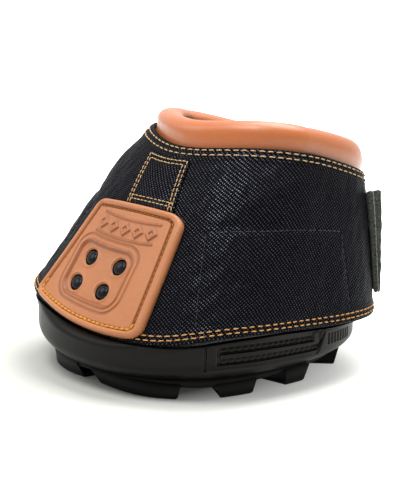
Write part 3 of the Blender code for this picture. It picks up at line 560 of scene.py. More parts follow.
def weave_material(name):
    """Basket weave of thick glinting yarns over the flat cloth's place in metres."""
    look = new_look(name)
    place = look.cloth()
    wobble = look.put("ShaderNodeTexNoise", {"Vector": place, "Scale": 160.0, "Detail": 1.0}).outputs["Color"]
    moved = look.vector("SUBTRACT", {0: wobble, 1: (0.5, 0.5, 0.5)})
    scaled = look.vector("SCALE", {0: moved, 3: 0.9 * WEAVE_CELL})
    place = look.vector("ADD", {0: place, 1: scaled})
    axes = look.parts(place)
    a, b = (look.calc("DIVIDE", axes[index], WEAVE_CELL) for index in (0, 1))
    parity = look.calc("FLOORED_MODULO", look.plus(look.calc("FLOOR", a), look.calc("FLOOR", b)), 2.0)
    across, down = look.wave(a), look.wave(b)
    weft = look.times(look.calc("POWER", across, 0.8), look.calc("POWER", down, 0.6), parity)
    other = look.calc("SUBTRACT", 1.0, parity)
    warp = look.times(look.calc("POWER", across, 0.6), look.calc("POWER", down, 0.8), other)
    strands = look.times(look.calc("SINE", look.times(b, 8 * math.pi)), 0.06, parity)
    height = look.plus(weft, look.times(warp, 0.8), strands)
    fleck = look.noise(900.0, 2.0, vector=place)
    speck = look.plus(weft, look.times(warp, 0.25))
    shown = look.times(look.ramp(speck, 0.0, 1.0, 0.42, 0.95), look.ramp(fleck, 0.30, 1.35, 0.32, 0.68))
    patchy = look.ramp(look.noise(45.0), 0.8, 1.12, 0.35, 0.65)
    colour = look.mixed(look.times(shown, patchy), YARN_DARK, YARN_LIGHT)
    look.tree.links.new(shown, look.shader.inputs["Metallic"])
    return look.surface(colour, look.ramp(speck, 0.80, 0.26, 0.3, 0.9), height, 0.03 * MM, level=0.04)


def leather_material(name, colour, deep, rough, grain, coat, spots=0.4, hollow_shade_colour=None):
    """Leather with pores and worn edges, with painted shade in its hollows where these have a colour."""
    look = new_look(name)
    broad, fine = look.noise(28.0, 4.0), look.noise(420.0, 4.0, 0.6)
    pore = look.ramp(look.cells("DISTANCE_TO_EDGE", Scale=1 / grain, Randomness=0.9), 0.0, 1.0, 0.0, 0.16)
    cloud = look.plus(look.times(broad, 0.6), look.times(fine, 0.4))
    base = look.mixed(look.ramp(cloud, 0.0, spots, 0.38, 0.62), colour, deep)
    base = look.mixed(look.ramp(pore, 0.22, 0.0, 0.0, 1.0), base, deep)
    pale = tuple(min(1.0, value * 1.25 + 0.04) for value in colour)
    base = look.mixed(look.pointy_edges(0.35, 0.50, 0.58), base, pale)
    # Painted shade: the hollow attribute darkens the guard's grooves, tooling slopes and vent mouths.
    if hollow_shade_colour:
        base = look.mixed(look.times(look.attribute("hollow"), 0.92), base, hollow_shade_colour)
    height = look.plus(look.times(pore, 0.5), look.times(fine, 0.5))
    return look.surface(base, look.ramp(fine, rough - 0.06, rough + 0.09, 0.35, 0.65), height, 0.12 * MM, 0.5,
                        coat=coat, coat_rough=0.38, level=0.4)


def rubber_material(name, colour, dust_and_edge_sheen, rough):
    look = new_look(name)
    broad = look.noise(35.0, 5.0, 0.6)
    base = look.mixed(look.ramp(broad, 0.0, 0.35, 0.45, 0.75), colour, dust_and_edge_sheen)
    # Pointed edges go four times as light as the dust colour: partly rubbed wear, partly a painted highlight
    # along the rims of the panel, slots and lugs.
    base = look.mixed(look.pointy_edges(0.75, 0.505, 0.56), base, tuple(value * 4.0 for value in dust_and_edge_sheen))
    return look.surface(base, look.ramp(broad, rough - 0.05, rough + 0.12, 0.3, 0.7), look.noise(900.0, 2.0),
                        0.08 * MM, 0.5, level=0.12)


def thread_material(name, light, dark):
    """Two twisted plies: u runs along the stitch in metres, v round it."""
    look = new_look(name)
    axes = look.parts(look.cloth())
    ply = look.wave(look.plus(look.times(axes[0], 1100.0), look.times(axes[1], 2.0)))
    shade = look.ramp(look.attribute("shade"), 0.72, 1.0, 0.0, 1.0)
    tone = look.times(look.ramp(ply, 0.45, 1.0, 0.0, 0.7), shade)
    return look.surface(look.mixed(tone, dark, light), look.ramp(ply, 0.7, 0.42, 0.0, 1.0), ply, 0.10 * MM,
                        sheen=0.1, sheen_rough=0.4, level=0.3)


def pile_material(name, dark, light, scale, relief, rough=0.9):
    """Loop pile, brushed lining or hooks: a felted tangle."""
    look = new_look(name)
    tangle = look.noise(scale, 5.0, 0.7)
    height = look.calc("SUBTRACT", tangle, look.times(look.cells("F1", Scale=scale * 0.8), 0.6))
    colour = look.mixed(look.ramp(height, 0.0, 1.0, 0.0, 0.5), dark, light)
    return look.surface(colour, look.ramp(tangle, rough, rough - 0.15, 0.3, 0.7), height, relief,
                        sheen=0.1, sheen_rough=0.6, level=0.15)


def gloss_material(name):
    look = new_look(name)
    cloud = look.noise(160.0)
    colour = look.mixed(look.ramp(cloud, 0.0, 1.0, 0.4, 0.7), (0.003, 0.0035, 0.005), (0.008, 0.010, 0.015))
    return look.surface(colour, look.ramp(cloud, 0.10, 0.22, 0.3, 0.7), look.noise(500.0, 1.0), 0.02 * MM, 0.4,
                        coat=0.05, coat_rough=0.08, level=0.12)


nylon, webbing = weave_material("ballistic_nylon"), weave_material("strap_webbing")
collar_leather = leather_material("collar_leather", (0.62, 0.165, 0.030), (0.50, 0.115, 0.018), 0.36, 1.1 * MM,
                                  0.80)
# The guard's last colour is the painted shade in its hollows.
guard_leather = leather_material("guard_leather", (0.57, 0.218, 0.085), (0.46, 0.150, 0.044), 0.40, 0.7 * MM,
                                 0.15, 0.45, (0.27, 0.070, 0.010))
gold_thread = thread_material("gold_thread", (0.86, 0.43, 0.12), (0.46, 0.19, 0.04))
cream_thread = thread_material("cream_gold_thread", (0.86, 0.58, 0.28), (0.46, 0.26, 0.10))
brown_thread = thread_material("brown_thread", (0.66, 0.30, 0.07), (0.30, 0.10, 0.02))
amber_thread = thread_material("amber_thread", (0.80, 0.36, 0.045), (0.42, 0.15, 0.012))
pale_thread = thread_material("pale_edge_thread", (0.34, 0.35, 0.32), (0.14, 0.15, 0.13))
tonal_thread = thread_material("tonal_thread", (0.014, 0.015, 0.023), (0.003, 0.003, 0.004))
shell_rubber = rubber_material("shell_rubber", (0.0046, 0.0041, 0.0034), (0.0105, 0.0094, 0.0080), 0.34)
tread_rubber = rubber_material("tread_rubber", (0.0014, 0.0012, 0.0010), (0.0032, 0.0029, 0.0026), 0.5)
lining_pile = pile_material("padded_lining", (0.010, 0.010, 0.011), (0.040, 0.040, 0.042), 900.0, 0.3 * MM)
loop_pile = pile_material("loop_pile", (0.006, 0.006, 0.007), (0.045, 0.045, 0.048), 700.0, 0.5 * MM)
hook_tape = pile_material("hook_tape", (0.004, 0.004, 0.005), (0.06, 0.06, 0.062), 650.0, 0.5 * MM, 0.6)
stiffener_sheet = rubber_material("stiffener_sheet", (0.03, 0.03, 0.03), (0.05, 0.05, 0.05), 0.5)
binding_band = pile_material("felt_binding", (0.028, 0.031, 0.026), (0.150, 0.160, 0.135), 1500.0, 0.15 * MM)
gloss_insert = gloss_material("vent_insert_gloss")


# Upper: skin, padding and the tonal rectangle

TOP_ROWS, LOW_ROWS = (1.9 * MM, 4.5 * MM), (2.2 * MM, 4.5 * MM)
TONAL_TOP, TONAL_FRONT, TONAL_REAR = 0.562, (50.5, 44.7), (115.1, 111.1)


def tonal_edge(share, ends):
    """Angle of an upright side of the tonal rectangle."""
    return np.interp(share, (0.05, 0.56), ends)


def hems(angle, share):
    """The folded hems and the pull of their stitch rows."""
    length = slant(angle)
    from_top, from_low = (1 - share) * length, share * length
    top = 0.5 * MM * (1 - smooth(from_top, 4.9 * MM, 6.4 * MM))
    low = 0.4 * MM * (1 - smooth(from_low, 5.0 * MM, 6.2 * MM))
    pull = sum(groove(from_top - row, 0.7 * MM, 0.35 * MM) for row in TOP_ROWS)
    return top + low + pull + sum(groove(from_low - row, 0.7 * MM, 0.30 * MM) for row in LOW_ROWS)


def skin_relief(angle, share):
    """Padding's swell, the hems, the tonal rectangle, a bulge over it and slight wrinkles."""
    length, side, around = slant(angle), np.abs(angle), arc(angle)
    from_low = share * length
    per_degree = np.linalg.norm(upper_face(angle, share)[..., :2], axis=-1) * math.pi / 180
    under = 1 - smooth(share, TONAL_TOP - 0.01, TONAL_TOP + 0.01)
    pull = groove((share - TONAL_TOP) * length, 0.8 * MM, 0.35 * MM) * window(side, 45.0, 111.0, 1.0)
    for ends, depth in ((TONAL_FRONT, 0.35 * MM), (TONAL_REAR, 0.40 * MM)):
        pull = pull + groove((side - tonal_edge(share, ends)) * per_degree, 0.8 * MM, depth) * under
    panel = 0.25 * MM * under * window(side, 49.0, 111.5, 1.0)
    swell = 0.4 * MM * window(share, 0.10, 0.90, 0.10)
    waves = 0.3 * MM * ripple(around, from_low, 11, 0.034) * window(share, 0.16, 0.88, 0.10)
    crease = 0.2 * MM * ripple(around, from_low, 5, 0.011) * window(share, 0.08, 0.94, 0.06)
    bulge = 1.1 * MM * bell(side - 66.0, 15.0) * bell(share - 0.76, 0.10)
    hollow = 0.8 * MM * bell(side - 100.0, 14.0) * bell(share - 0.72, 0.12)
    fold = groove((share - TONAL_TOP - 0.03) * length, 2.6 * MM, 0.6 * MM) * window(side, 47.0, 90.0, 5.0)
    broad = (bulge - hollow) * (1 - smooth(share, 0.87, 0.93)) + fold
    return swell + hems(angle, share) + pull + panel + waves + crease + broad


def dense_rows(length=0.088):
    """Shares up the skin, close together at the hems' stitch rows."""
    low = np.arange(0, 7.2 * MM, 0.36 * MM) / length
    top = 1 - low[::-1]
    return np.concatenate([low, np.linspace(low[-1], top[0], 84)[1:-1], top])


def lining_relief(angle, share):
    beside = window(np.abs(angle), 42.0, 115.0, 1.5)
    return LINING_FACE - (STIFFENER + GAP) * beside * (1 - smooth(share, 0.66, 0.72))


def lining_back(angle, share):
    puff = 0.6 * MM * window(share, 0.26, 0.9, 0.05) * (0.6 + 0.4 * ripple(arc(angle), share * 0.09, 8, 0.03))
    return LINING_BACK + 0.1 * MM - puff


def lining_high(angle):
    return 1 - (LEG_DEPTH + GAP) / slant(angle)


skin_angles = np.unique(np.concatenate([even(-QUARTER_ANGLE, 0, 0.65), even(0, QUARTER_ANGLE, 0.65)]))
wrap_piece("upper_skin", nylon, ("boot", "nylon", "upper_fabric"), skin_angles, dense_rows(), skin_relief,
           -FABRIC, grain=52.0)
wrap_piece("upper_padding", lining_pile, ("boot", "lining", "upper_lining"),
           even(-QUARTER_ANGLE, QUARTER_ANGLE, 2.0), np.linspace(0, 1, 40), lining_relief, lining_back,
           (0, lining_high), 0.0)


# Collar

def collar_ring(angle):
    """Section of the collar: outer leg, the roll over the top, and down to the lining."""
    around, up, normal = slopes(angle, 1.0 + 0 * angle)
    out = unit(np.cross(around, np.array([0.0, 0.0, 1.0])))
    rise = np.cross(out, around)
    lean = np.stack([(normal * out).sum(-1), (normal * rise).sum(-1)], -1)
    climb = np.stack([-lean[:, 1], lean[:, 0]], -1)
    leg = LINING_FACE - GAP
    outside = leg + level(COLLAR_BULGES, angle)[:, None]
    inside = LINING_FACE - COLLAR_THICKNESS
    middle, half = (outside + inside) / 2, (outside - inside) / 2
    tilt = 2.3 * MM * np.sin(np.radians(angle - 35.0)) - 0.1 * MM
    top = (level(COLLAR_HEIGHTS, angle) + tilt)[:, None]
    turns = np.radians(np.linspace(0, 180, 37))[None, :]
    roll_up = COLLAR_WAIST + (top - COLLAR_WAIST) * np.sin(turns) ** 0.92
    roll = np.stack([middle + half * np.cos(turns), roll_up], -1)

    def line(first, second, count):
        t = np.linspace(0, 1, count, endpoint=False)[None, :, None]
        return first[:, None] * (1 - t) + second[:, None] * t

    low_leg, high_leg = lean * leg - climb * LEG_DEPTH, lean * leg
    tuck = np.stack([inside + COLLAR_TUCK + 0 * angle, -COLLAR_TUCK + 0 * angle], -1)
    foot = lean * LINING_BACK - climb * LEG_DEPTH
    chain = np.concatenate([line(low_leg, high_leg, 8), line(high_leg, roll[:, 0], 5), roll,
                            line(roll[:, -1], tuck, 7)[:, 1:], line(tuck, foot, 8), foot[:, None]], 1)
    for turn in range(6):
        chain[:, 1:-1] = (chain[:, :-2] + 2 * chain[:, 1:-1] + chain[:, 2:]) / 4
    return chain, out, rise


def collar_piece(name, start, end, seed, home):
    """Stretch of the collar. Its leather swells and gathers: broad waves, small pleats inside the tight toe
    bend, pinched ends."""
    angle = even(start, end, 0.8)
    chain, out, rise = collar_ring(angle)
    tangent = np.gradient(chain, axis=1)
    normal = unit(np.stack([tangent[..., 1], -tangent[..., 0]], -1))
    t = np.linspace(0, 1, chain.shape[1])[None, :]
    around = arc(angle)[:, None] * 0.6
    free = window(t, 0.22, 0.86, 0.06)
    swell = 0.35 * MM * ripple(around, t * 0.04, seed, 0.05) * free
    pleats = np.abs(np.sin(around / 0.0052 + 1.2 * np.sin(around / 0.017) + 2.0 * t))
    tight = 0.35 + 0.65 * bell(angle[:, None], 34.0)
    swell = swell - 0.45 * MM * (1 - pleats) ** 3 * window(t, 0.62, 0.86, 0.08) * tight
    ends = np.minimum(np.abs(angle - start), np.abs(angle - end))[:, None]
    pinch = 1 - bell(ends, 0.9)
    moved = chain + normal * (swell * pinch - 1.1 * MM * (1 - pinch) * free)[..., None]
    points = upper_face(angle, 1.0)[:, None] + out[:, None] * moved[..., :1] + rise[:, None] * moved[..., 1:]
    steps = np.linalg.norm(np.diff(points, axis=1), axis=2)
    length = np.concatenate([np.zeros((len(angle), 1)), np.cumsum(steps, 1)], 1)
    place = np.stack([around + 0 * length, length], -1)
    piece = tube_piece(name, collar_leather, points[:, :-1], place[:-1], place[1:])
    settle(piece, *home)


collar_piece("collar_roll", -QUARTER_ANGLE, QUARTER_ANGLE, 3,
             ("boot", "collar_leather", "collar_cover", "collar_foam"))
collar_piece("heel_collar_roll", QUARTER_ANGLE + HEEL_SEAM, HEEL_FLAP_END, 4,
             ("heel_flap", "collar_leather", "heel_collar_cover", "heel_collar_foam"))


# Toe guard, vents and strap

# Corner radii, first the lower two and then the upper two, left and right
GUARD_CORNERS = np.array([(6.5 * MM, 5.5 * MM), (4.8 * MM, 6.5 * MM)])
RIGHT_SCALE = 0.70
RIM_HEIGHT, RIM_WIDTH, GROOVE_WIDTH, GROOVE_DEPTH = 1.1 * MM, 3.1 * MM, 1.5 * MM, 1.2 * MM
FIELD_EDGE = RIM_WIDTH + GROOVE_WIDTH


def guard_sides(share):
    """Sideways places of the toe guard's left and right edges."""
    return -0.0444 + 0.0236 * share, 0.0383 - 0.0050 * share - 0.0085 * share ** 2


def guard_ends(x):
    """Shares of the toe guard's lower and upper edges."""
    return 0.003 + 9.5 * x ** 2, 0.664 - 43.9 * (x - 0.003) ** 2


def edge_distance(x, share):
    """Way in from the toe guard's outline. On the right it counts less, so that the rim is wider there."""
    left, right = guard_sides(share)
    low, high = guard_ends(x)
    side = np.minimum(x - left, (right - x) * RIGHT_SCALE)
    end = np.minimum(share - low, high - share) * FRONT_SLANT
    corner = GUARD_CORNERS[(share > 0.32).astype(int), (x > (left + right) / 2).astype(int)]
    to_side, to_end = corner - side, corner - end
    rounded = corner - np.hypot(to_side, to_end)
    return np.where((to_side > 0) & (to_end > 0), rounded, corner - np.maximum(to_side, to_end))


def guard_place(across, rise):
    """Sideways place and share of a point of the guard's grid."""
    x, share = 0 * (across + rise), 0.65 * rise + 0 * across
    for turn in range(12):
        low, high = guard_ends(x)
        end = np.minimum(rise, 1 - rise) * (high - low) * FRONT_SLANT
        corners = GUARD_CORNERS[(rise > 0.5).astype(int)]
        drop = np.clip(1 - end[..., None] / corners, 0, 1)
        cuts = corners * (1 - np.sqrt(1 - drop ** 2))
        left, right = guard_sides(share)
        left, right = left + cuts[..., 0], right - cuts[..., 1] / RIGHT_SCALE
        x = (left + right) / 2 + across * (right - left) / 2
        share = low + rise * (high - low)
    return x, share


def vent_distance(x, share):
    distances = [np.hypot(x - vent_x, (share - vent_share) * FRONT_SLANT) for vent_x, vent_share in VENTS]
    return np.minimum.reduce(distances)


def rounded_box(x, y, half_x, half_y, corner):
    """Signed distance to a rounded rectangle, negative inside."""
    over_x, over_y = np.abs(x) - half_x + corner, np.abs(y) - half_y + corner
    outside = np.hypot(np.maximum(over_x, 0), np.maximum(over_y, 0))
    return outside + np.minimum(np.maximum(over_x, over_y), 0) - corner


def tooling(x, share):
    """Plain tooled ornament: a sunk field round the vents and a band of lozenges above it."""
    field = rounded_box(x + 4.8 * MM, (share - 0.270) * FRONT_SLANT, 19.5 * MM, 14.5 * MM, 6.0 * MM)
    sunk = -0.85 * MM * (1 - smooth(field, -0.5 * MM, 0.5 * MM))
    rings = groove(field - 1.1 * MM, 0.5 * MM, -0.60 * MM) + groove(field - 4.2 * MM, 0.45 * MM, 0.45 * MM)
    band_y, band_x, pitch = (share - 0.525) * FRONT_SLANT, x - 0.8 * MM, 8.8 * MM
    inside = 1 - smooth(np.abs(band_x), 20.6 * MM, 21.4 * MM)
    local = (band_x + pitch / 2) % pitch - pitch / 2
    lozenge = np.abs(local) / (3.8 * MM) + np.abs(band_y) / (3.9 * MM)
    raised = 0.95 * MM * (1 - smooth(lozenge, 0.88, 1.02)) - 0.60 * MM * (1 - smooth(lozenge, 0.34, 0.52))
    lines = sum(0.55 * MM * bell(band_y - at, 0.42 * MM) for at in (-5.4 * MM, 5.4 * MM))
    return sunk + rings + (raised + lines) * inside


def guard_face(x, share):
    edge = edge_distance(x, share)
    crown = np.clip(edge / RIM_WIDTH, 0, 1)
    rim = RIM_HEIGHT * np.sqrt(np.clip(1 - (2 * crown - 1) ** 2, 0, 1)) ** 0.8
    height = PATCH_FACE + rim - 1.5 * MM * round_off(edge, 1.5 * MM)
    height = height - GROOVE_DEPTH * window(edge, RIM_WIDTH + 0.25 * MM, FIELD_EDGE - 0.25 * MM, 0.25 * MM)
    height = height + tooling(x, share) * smooth(edge, FIELD_EDGE, FIELD_EDGE + 1.0 * MM)
    lip = vent_distance(x, share) - VENT_RADIUS
    return height + 0.35 * MM * bell(lip - 0.9 * MM, 0.7 * MM) - 0.9 * MM * (1 - smooth(lip, -0.1 * MM, 0.7 * MM))


def guard_back(x, share):
    return GAP + 1.2 * MM * smooth(edge_distance(x, share), 5.0 * MM, 7.6 * MM)


def hollow_shade(x, share):
    """How deep in a groove, hollow or vent mouth a place lies, for painted shade there."""
    edge = edge_distance(x, share)
    groove_dark = window(edge, RIM_WIDTH + 0.1 * MM, FIELD_EDGE - 0.1 * MM, 0.3 * MM)
    mouth = 1 - smooth(vent_distance(x, share) - VENT_RADIUS, 0.0, 0.8 * MM)
    slope = sum(np.abs(np.gradient(tooling(x, share), axis=axis)) for axis in (0, 1))
    return np.clip(groove_dark + 0.8 * mouth + slope * 3500, 0, 1)


def build_guard():
    ends = np.linspace(0, 0.018, 8)[:-1]
    rows = np.concatenate([ends, np.linspace(0.018, 0.982, 150), np.linspace(0.982, 1, 8)[1:]])
    close = np.cos(np.linspace(0, 1, 9) * math.pi / 2)[:-1] * 0.02 + 0.98
    across = np.concatenate([-close, np.linspace(-0.98, 0.98, 216), close[::-1]])
    x, share = guard_place(across[:, None], rows[None, :])
    cells_x, cells_share = ((grid[:-1, :-1] + grid[1:, 1:]) / 2 for grid in (x, share))
    hole = vent_distance(cells_x, cells_share) < VENT_RADIUS
    touched = np.zeros(x.shape, int)
    for i, j in ((0, 0), (1, 0), (0, 1), (1, 1)):
        touched[i:i + hole.shape[0], j:j + hole.shape[1]] += hole
    # The points round each hole move on to its circle
    for vent_x, vent_share in VENTS:
        dx, dy = x - vent_x, (share - vent_share) * FRONT_SLANT
        radius = np.hypot(dx, dy)
        ring = (touched > 0) & (touched < 4) & (radius < 1.3 * VENT_RADIUS)
        scale = np.where(ring, VENT_RADIUS / np.maximum(radius, 1e-6), 1)
        x, share = vent_x + dx * scale, vent_share + dy * scale / FRONT_SLANT
    # Painted shade in the guard's hollows, on its outer face only.
    hollow = np.concatenate([hollow_shade(x, share).ravel(), np.zeros(x.size)])
    piece = sheet_piece("toe_guard", guard_leather, x, share, guard_face(x, share), guard_back(x, share), ~hole,
                        hollow=hollow)
    settle(piece, "boot", "patch_leather", "toe_patch")


def build_insert():
    margin, step = 6.8 * MM, 0.4 * MM
    xs, shares = np.array(VENTS).T
    x = even(xs.min() - margin, xs.max() + margin, step)
    share = even(shares.min() - margin / FRONT_SLANT, shares.max() + margin / FRONT_SLANT, step / FRONT_SLANT)
    x, share = np.meshgrid(x, share, indexing="ij")
    far = vent_distance(x, share)
    dome = 1.5 * MM * np.sqrt(np.clip(1 - (far / (3.9 * MM)) ** 2, 0, 1))
    dome = dome + 0.2 * MM * np.exp(-(far / (4.3 * MM)) ** 8)
    piece = sheet_piece("vent_insert_panel", gloss_insert, x, share, GAP + 0.5 * MM + dome, GAP)
    settle(piece, "boot", "vent_insert", "patch_backing")


STRAP_CORNER, STRAP_ROWS = 2.2 * MM, (1.1 * MM, 3.0 * MM)


def strap_low(x):
    return guard_ends(x)[1] + GAP / FRONT_SLANT


def strap_middle(share):
    return np.interp(share, STRAP_SHARES, STRAP_MIDDLES)


def strap_half(share):
    return np.interp(share, STRAP_SHARES, STRAP_HALVES)


def build_strap():
    rows, across = np.linspace(0, 1, 64)[None, :], np.linspace(-1, 1, 72)[:, None]
    low, high = STRAP_SHARES
    share = low + (high - low) * rows + 0 * across
    for turn in range(8):
        drop = np.maximum(STRAP_CORNER - (high - share) * FRONT_SLANT, 0)
        reach = strap_half(share) - STRAP_CORNER + np.sqrt(np.maximum(STRAP_CORNER ** 2 - drop ** 2, 0))
        x = strap_middle(share) + across * reach
        share = strap_low(x) + (high - strap_low(x)) * rows
    edge = np.minimum(reach - np.abs(x - strap_middle(share)), (high - share) * FRONT_SLANT)
    pull = sum(groove(edge - at, 0.5 * MM, 0.25 * MM) for at in STRAP_ROWS)
    sag = 0.15 * MM * ripple(x, share * FRONT_SLANT, 21, 0.012)
    outer = GAP + STRAP_THICKNESS - 0.7 * MM * round_off(edge, 0.9 * MM) + pull + sag
    settle(sheet_piece("strap_webbing_band", webbing, x, share, outer, GAP), "boot", "webbing", "toe_strap")


build_guard()
build_insert()
build_strap()


# Closing flap, heel flap and grip tab

FLAP_ROWS = (1.6 * MM, 4.8 * MM)
ROOT_FACE = FLAP_FACE - FLAP_BACK + ROOT_CLEARANCE


def flap_drop(angle):
    """How far the flap sinks towards its root."""
    return (FLAP_BACK - ROOT_CLEARANCE) * np.clip((angle - RAMP_ANGLE) / (ROOT_ANGLE - RAMP_ANGLE), 0, 1)


def dropped(offset):
    return lambda angle, share: offset - flap_drop(angle)


def heel_relief(angle, share):
    return hems(angle, share) * (1 - window(share, FLAP_SHARES[0] - 0.01, FLAP_SHARES[1] + 0.01, 0.01))


def flap_outer(angle, share):
    length = slant(angle)
    edge = np.minimum(share - FLAP_SHARES[0], FLAP_SHARES[1] - share) * length
    pull = sum(groove(edge - at, 0.6 * MM, 0.22 * MM) for at in FLAP_ROWS)
    waves = 0.22 * MM * ripple(arc(angle), share * length, 31, 0.03) * smooth(edge, 1 * MM, 8 * MM)
    binding = 0.3 * MM * (1 - smooth(edge, 6.2 * MM, 6.8 * MM))
    return FLAP_FACE - flap_drop(angle) + pull + waves + binding


def root_outer(angle, share):
    return ROOT_FACE + groove((angle - 236.0) * 1.4 * MM, 0.7 * MM, 0.2 * MM)


heel_start = QUARTER_ANGLE + HEEL_SEAM
flap_ends = np.linspace(0, 0.12, 22)
flap_rows = np.unique(np.concatenate([flap_ends, np.linspace(0.12, 0.88, 50), np.linspace(0.88, 1, 22)]))
wrap_piece("heel_skin", nylon, ("heel_flap", "nylon", "heel_flap_fabric"), even(heel_start, HEEL_FLAP_END, 0.8),
           dense_rows(0.066), heel_relief, -FABRIC)
wrap_piece("heel_padding", lining_pile, ("heel_flap", "lining", "heel_flap_lining"),
           even(heel_start, HEEL_FLAP_END, 2.0), np.linspace(0, 1, 32), LINING_FACE, lining_back,
           (0, lining_high))
wrap_piece("heel_loop_pile", loop_pile, ("heel_flap", "loop_fabric", "heel_loop_patch"),
           even(heel_start + HEEL_SEAM, 206.0, 1.5), np.linspace(0, 1, 40), LOOP_FACE, GAP, TAPE_SHARES)
wrap_piece("quarter_loop_pile", loop_pile, ("boot", "loop_fabric", "loop_patch"),
           even(137.0, QUARTER_ANGLE - HEEL_SEAM, 0.8), np.linspace(0, 1, 60), LOOP_FACE, GAP, TAPE_SHARES)
wrap_piece("flap_cover", nylon, ("outer_flap", "nylon", "outer_flap_fabric"), even(TAB_HINGE, ROOT_ANGLE, 0.75),
           flap_rows, flap_outer, dropped(FLAP_MIDDLE + GAP), FLAP_SHARES)
wrap_piece("flap_padding", lining_pile, ("outer_flap", "lining", "outer_flap_lining"),
           even(TAB_HINGE, ROOT_ANGLE, 1.5), np.linspace(0, 1, 40), dropped(FLAP_MIDDLE), dropped(FLAP_BACK),
           FLAP_SHARES)
wrap_piece("flap_hooks", hook_tape, ("outer_flap", "hook_tape", "hook_tape"), even(143.0, 206.0, 1.0),
           np.linspace(0, 1, 60), HOOK_BACK + HOOK, HOOK_BACK, TAPE_SHARES)
wrap_piece("flap_root_band", nylon, ("boot", "nylon", "flap_root_strip"),
           even(ROOT_ANGLE + 0.8, ROOT_STRIP_ANGLE, 0.5), flap_rows, root_outer, GAP, FLAP_SHARES)


def flap_climb(share):
    return (share - FLAP_SHARES[0]) / (FLAP_SHARES[1] - FLAP_SHARES[0])


def tab_point(run, share, offset):
    """Point on the grip tab. run is 0 at its fold and 1 at its free end."""
    start, climb = TAB_HINGE - TAB_SEAM, flap_climb(share)
    angle = start + (TAB_LOW + (TAB_HIGH - TAB_LOW) * climb - start) * run
    return upper_point(angle, share, offset + TAB_LIFT * climb * np.maximum(run, 0) ** 2)


tab_length = float(np.linalg.norm(tab_point(1.0, FLAP_SHARES[0], 0.0) - tab_point(0.0, FLAP_SHARES[0], 0.0)))
TAB_EDGE = 1 - BINDING_WIDTH / tab_length
TAB_ROWS, TAB_RUNS = 120, 26
FOLD_FACE, FOLD_SPREAD = 3.1 * MM, -3.5 * MM
FOLD_START, FOLD_RUN = -0.058, 0.30


def tab_mesh(name, material, start, end, outer, inner, relief):
    """Part of the grip tab, as a loft of closed sections. outer and inner are offsets at the tab's low edge,
    and what they gain up to the high one."""
    rows = np.linspace(*FLAP_SHARES, TAB_ROWS)[:, None]
    climb, step = np.linspace(0, 1, TAB_ROWS)[:, None], np.arange(TAB_ROWS)
    outer, inner = (face[0] + face[1] * climb for face in (outer, inner))
    shrink = np.minimum(1, 0.35 + np.minimum(step, step[::-1]) / 2.5)[:, None]
    run = np.linspace(start, end, TAB_RUNS)
    t = (run - start) / (end - start)
    taper = np.sqrt(np.clip(1 - np.maximum(np.abs(2 * t - 1) - 0.86, 0) ** 2 / 0.14 ** 2 * 0.8, 0, 1))
    runs, tapers = np.concatenate([run, run[::-1]]), np.concatenate([taper, taper[::-1]])
    sides = np.repeat([1, -1], TAB_RUNS)
    runs, rows = runs + 0 * rows, rows + 0 * runs
    half = (outer - inner) / 2 * sides * tapers * shrink
    offset = (outer + inner) / 2 + half + relief(runs, rows) * (sides > 0)
    place = np.stack([runs * tab_length + 0.5, rows * 0.075 + 0.5], -1)
    place = np.concatenate([place, place[:, :1]], 1)[::-1]
    return tube_piece(name, material, tab_point(runs, rows, offset)[::-1], place[:-1], place[1:])


def cover_relief(run, share):
    return groove(run - 0.10, 0.05, 0.25 * MM)


def band_relief(run, share):
    return 0.25 * MM * ripple(share * 0.09, run * 0.01, 41, 0.012)


tab_cover = tab_mesh("tab_cover", nylon, FOLD_START, TAB_EDGE - GAP / tab_length, (FLAP_FACE, 0.0),
                     (FLAP_BACK, 0.0), cover_relief)
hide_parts("grip_tab")
fold_fixed, fold_free = (tuple(tab_point(run, 0.49, FLAP_MIDDLE)) for run in (FOLD_START, FOLD_RUN))
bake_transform(tab_cover)
tab_binding = tab_mesh("tab_binding", binding_band, TAB_EDGE, 1.0, (FLAP_FACE + BINDING, 0.0),
                       (FOLD_FACE + 0.2 * MM, FOLD_SPREAD), band_relief)
settle(tab_binding, "grip_tab", "binding", "grip_tab_binding")
tab_fold = tab_mesh("tab_fold", binding_band, 0.88, 1.03, (FOLD_FACE, FOLD_SPREAD), (0.9 * MM, -4.25 * MM),
                    band_relief)
settle(tab_fold, "grip_tab", "binding")


# Rubber cup

PANEL_FRONT, PANEL_REAR, PANEL_LOW, PANEL_HIGH = 55.5, 108.5, 0.34, 0.90
PANEL_DEPTH, EDGE_DEPTH, SLOT_DEPTH = 0.9 * MM, 1.7 * MM, 2.4 * MM
SLOT_HALF, SLOTS, SLOT_FRONT, SLOT_REARS = 0.07, (0.50, 0.70), 59.5, (108.2, 105.5)
STEP_FRONT, STEP_REAR = 107.9, 110.8
GRILLE_FRONT, GRILLE_PITCH, GRILLE_BAR, GRILLE_COUNT, GRILLE_SHARES = 112.7, 1.95, 0.95, 8, (0.52, 0.74)


def folded(angle):
    return np.abs((angle + 180) % 360 - 180)


def foot_z(angle):
    """Height of the cup's lower ridge, higher than the CAD's so that the lugs are as tall as they look."""
    return smooth_table(folded(angle), FOOT_TURNS, FOOT_ZS, 12.0)


def gap_z(angle):
    """Height of the tread's underside between the lugs."""
    return smooth_table(folded(angle), GAP_TURNS, GAP_ZS, 10.0)


def cup_oval(angle, inset):
    """The cup's outline, a little flatter than the CAD's beside the toe."""
    return oval(SHELL, angle, inset + 1.2 * MM * bell(folded(angle) - 38.0, 24.0))


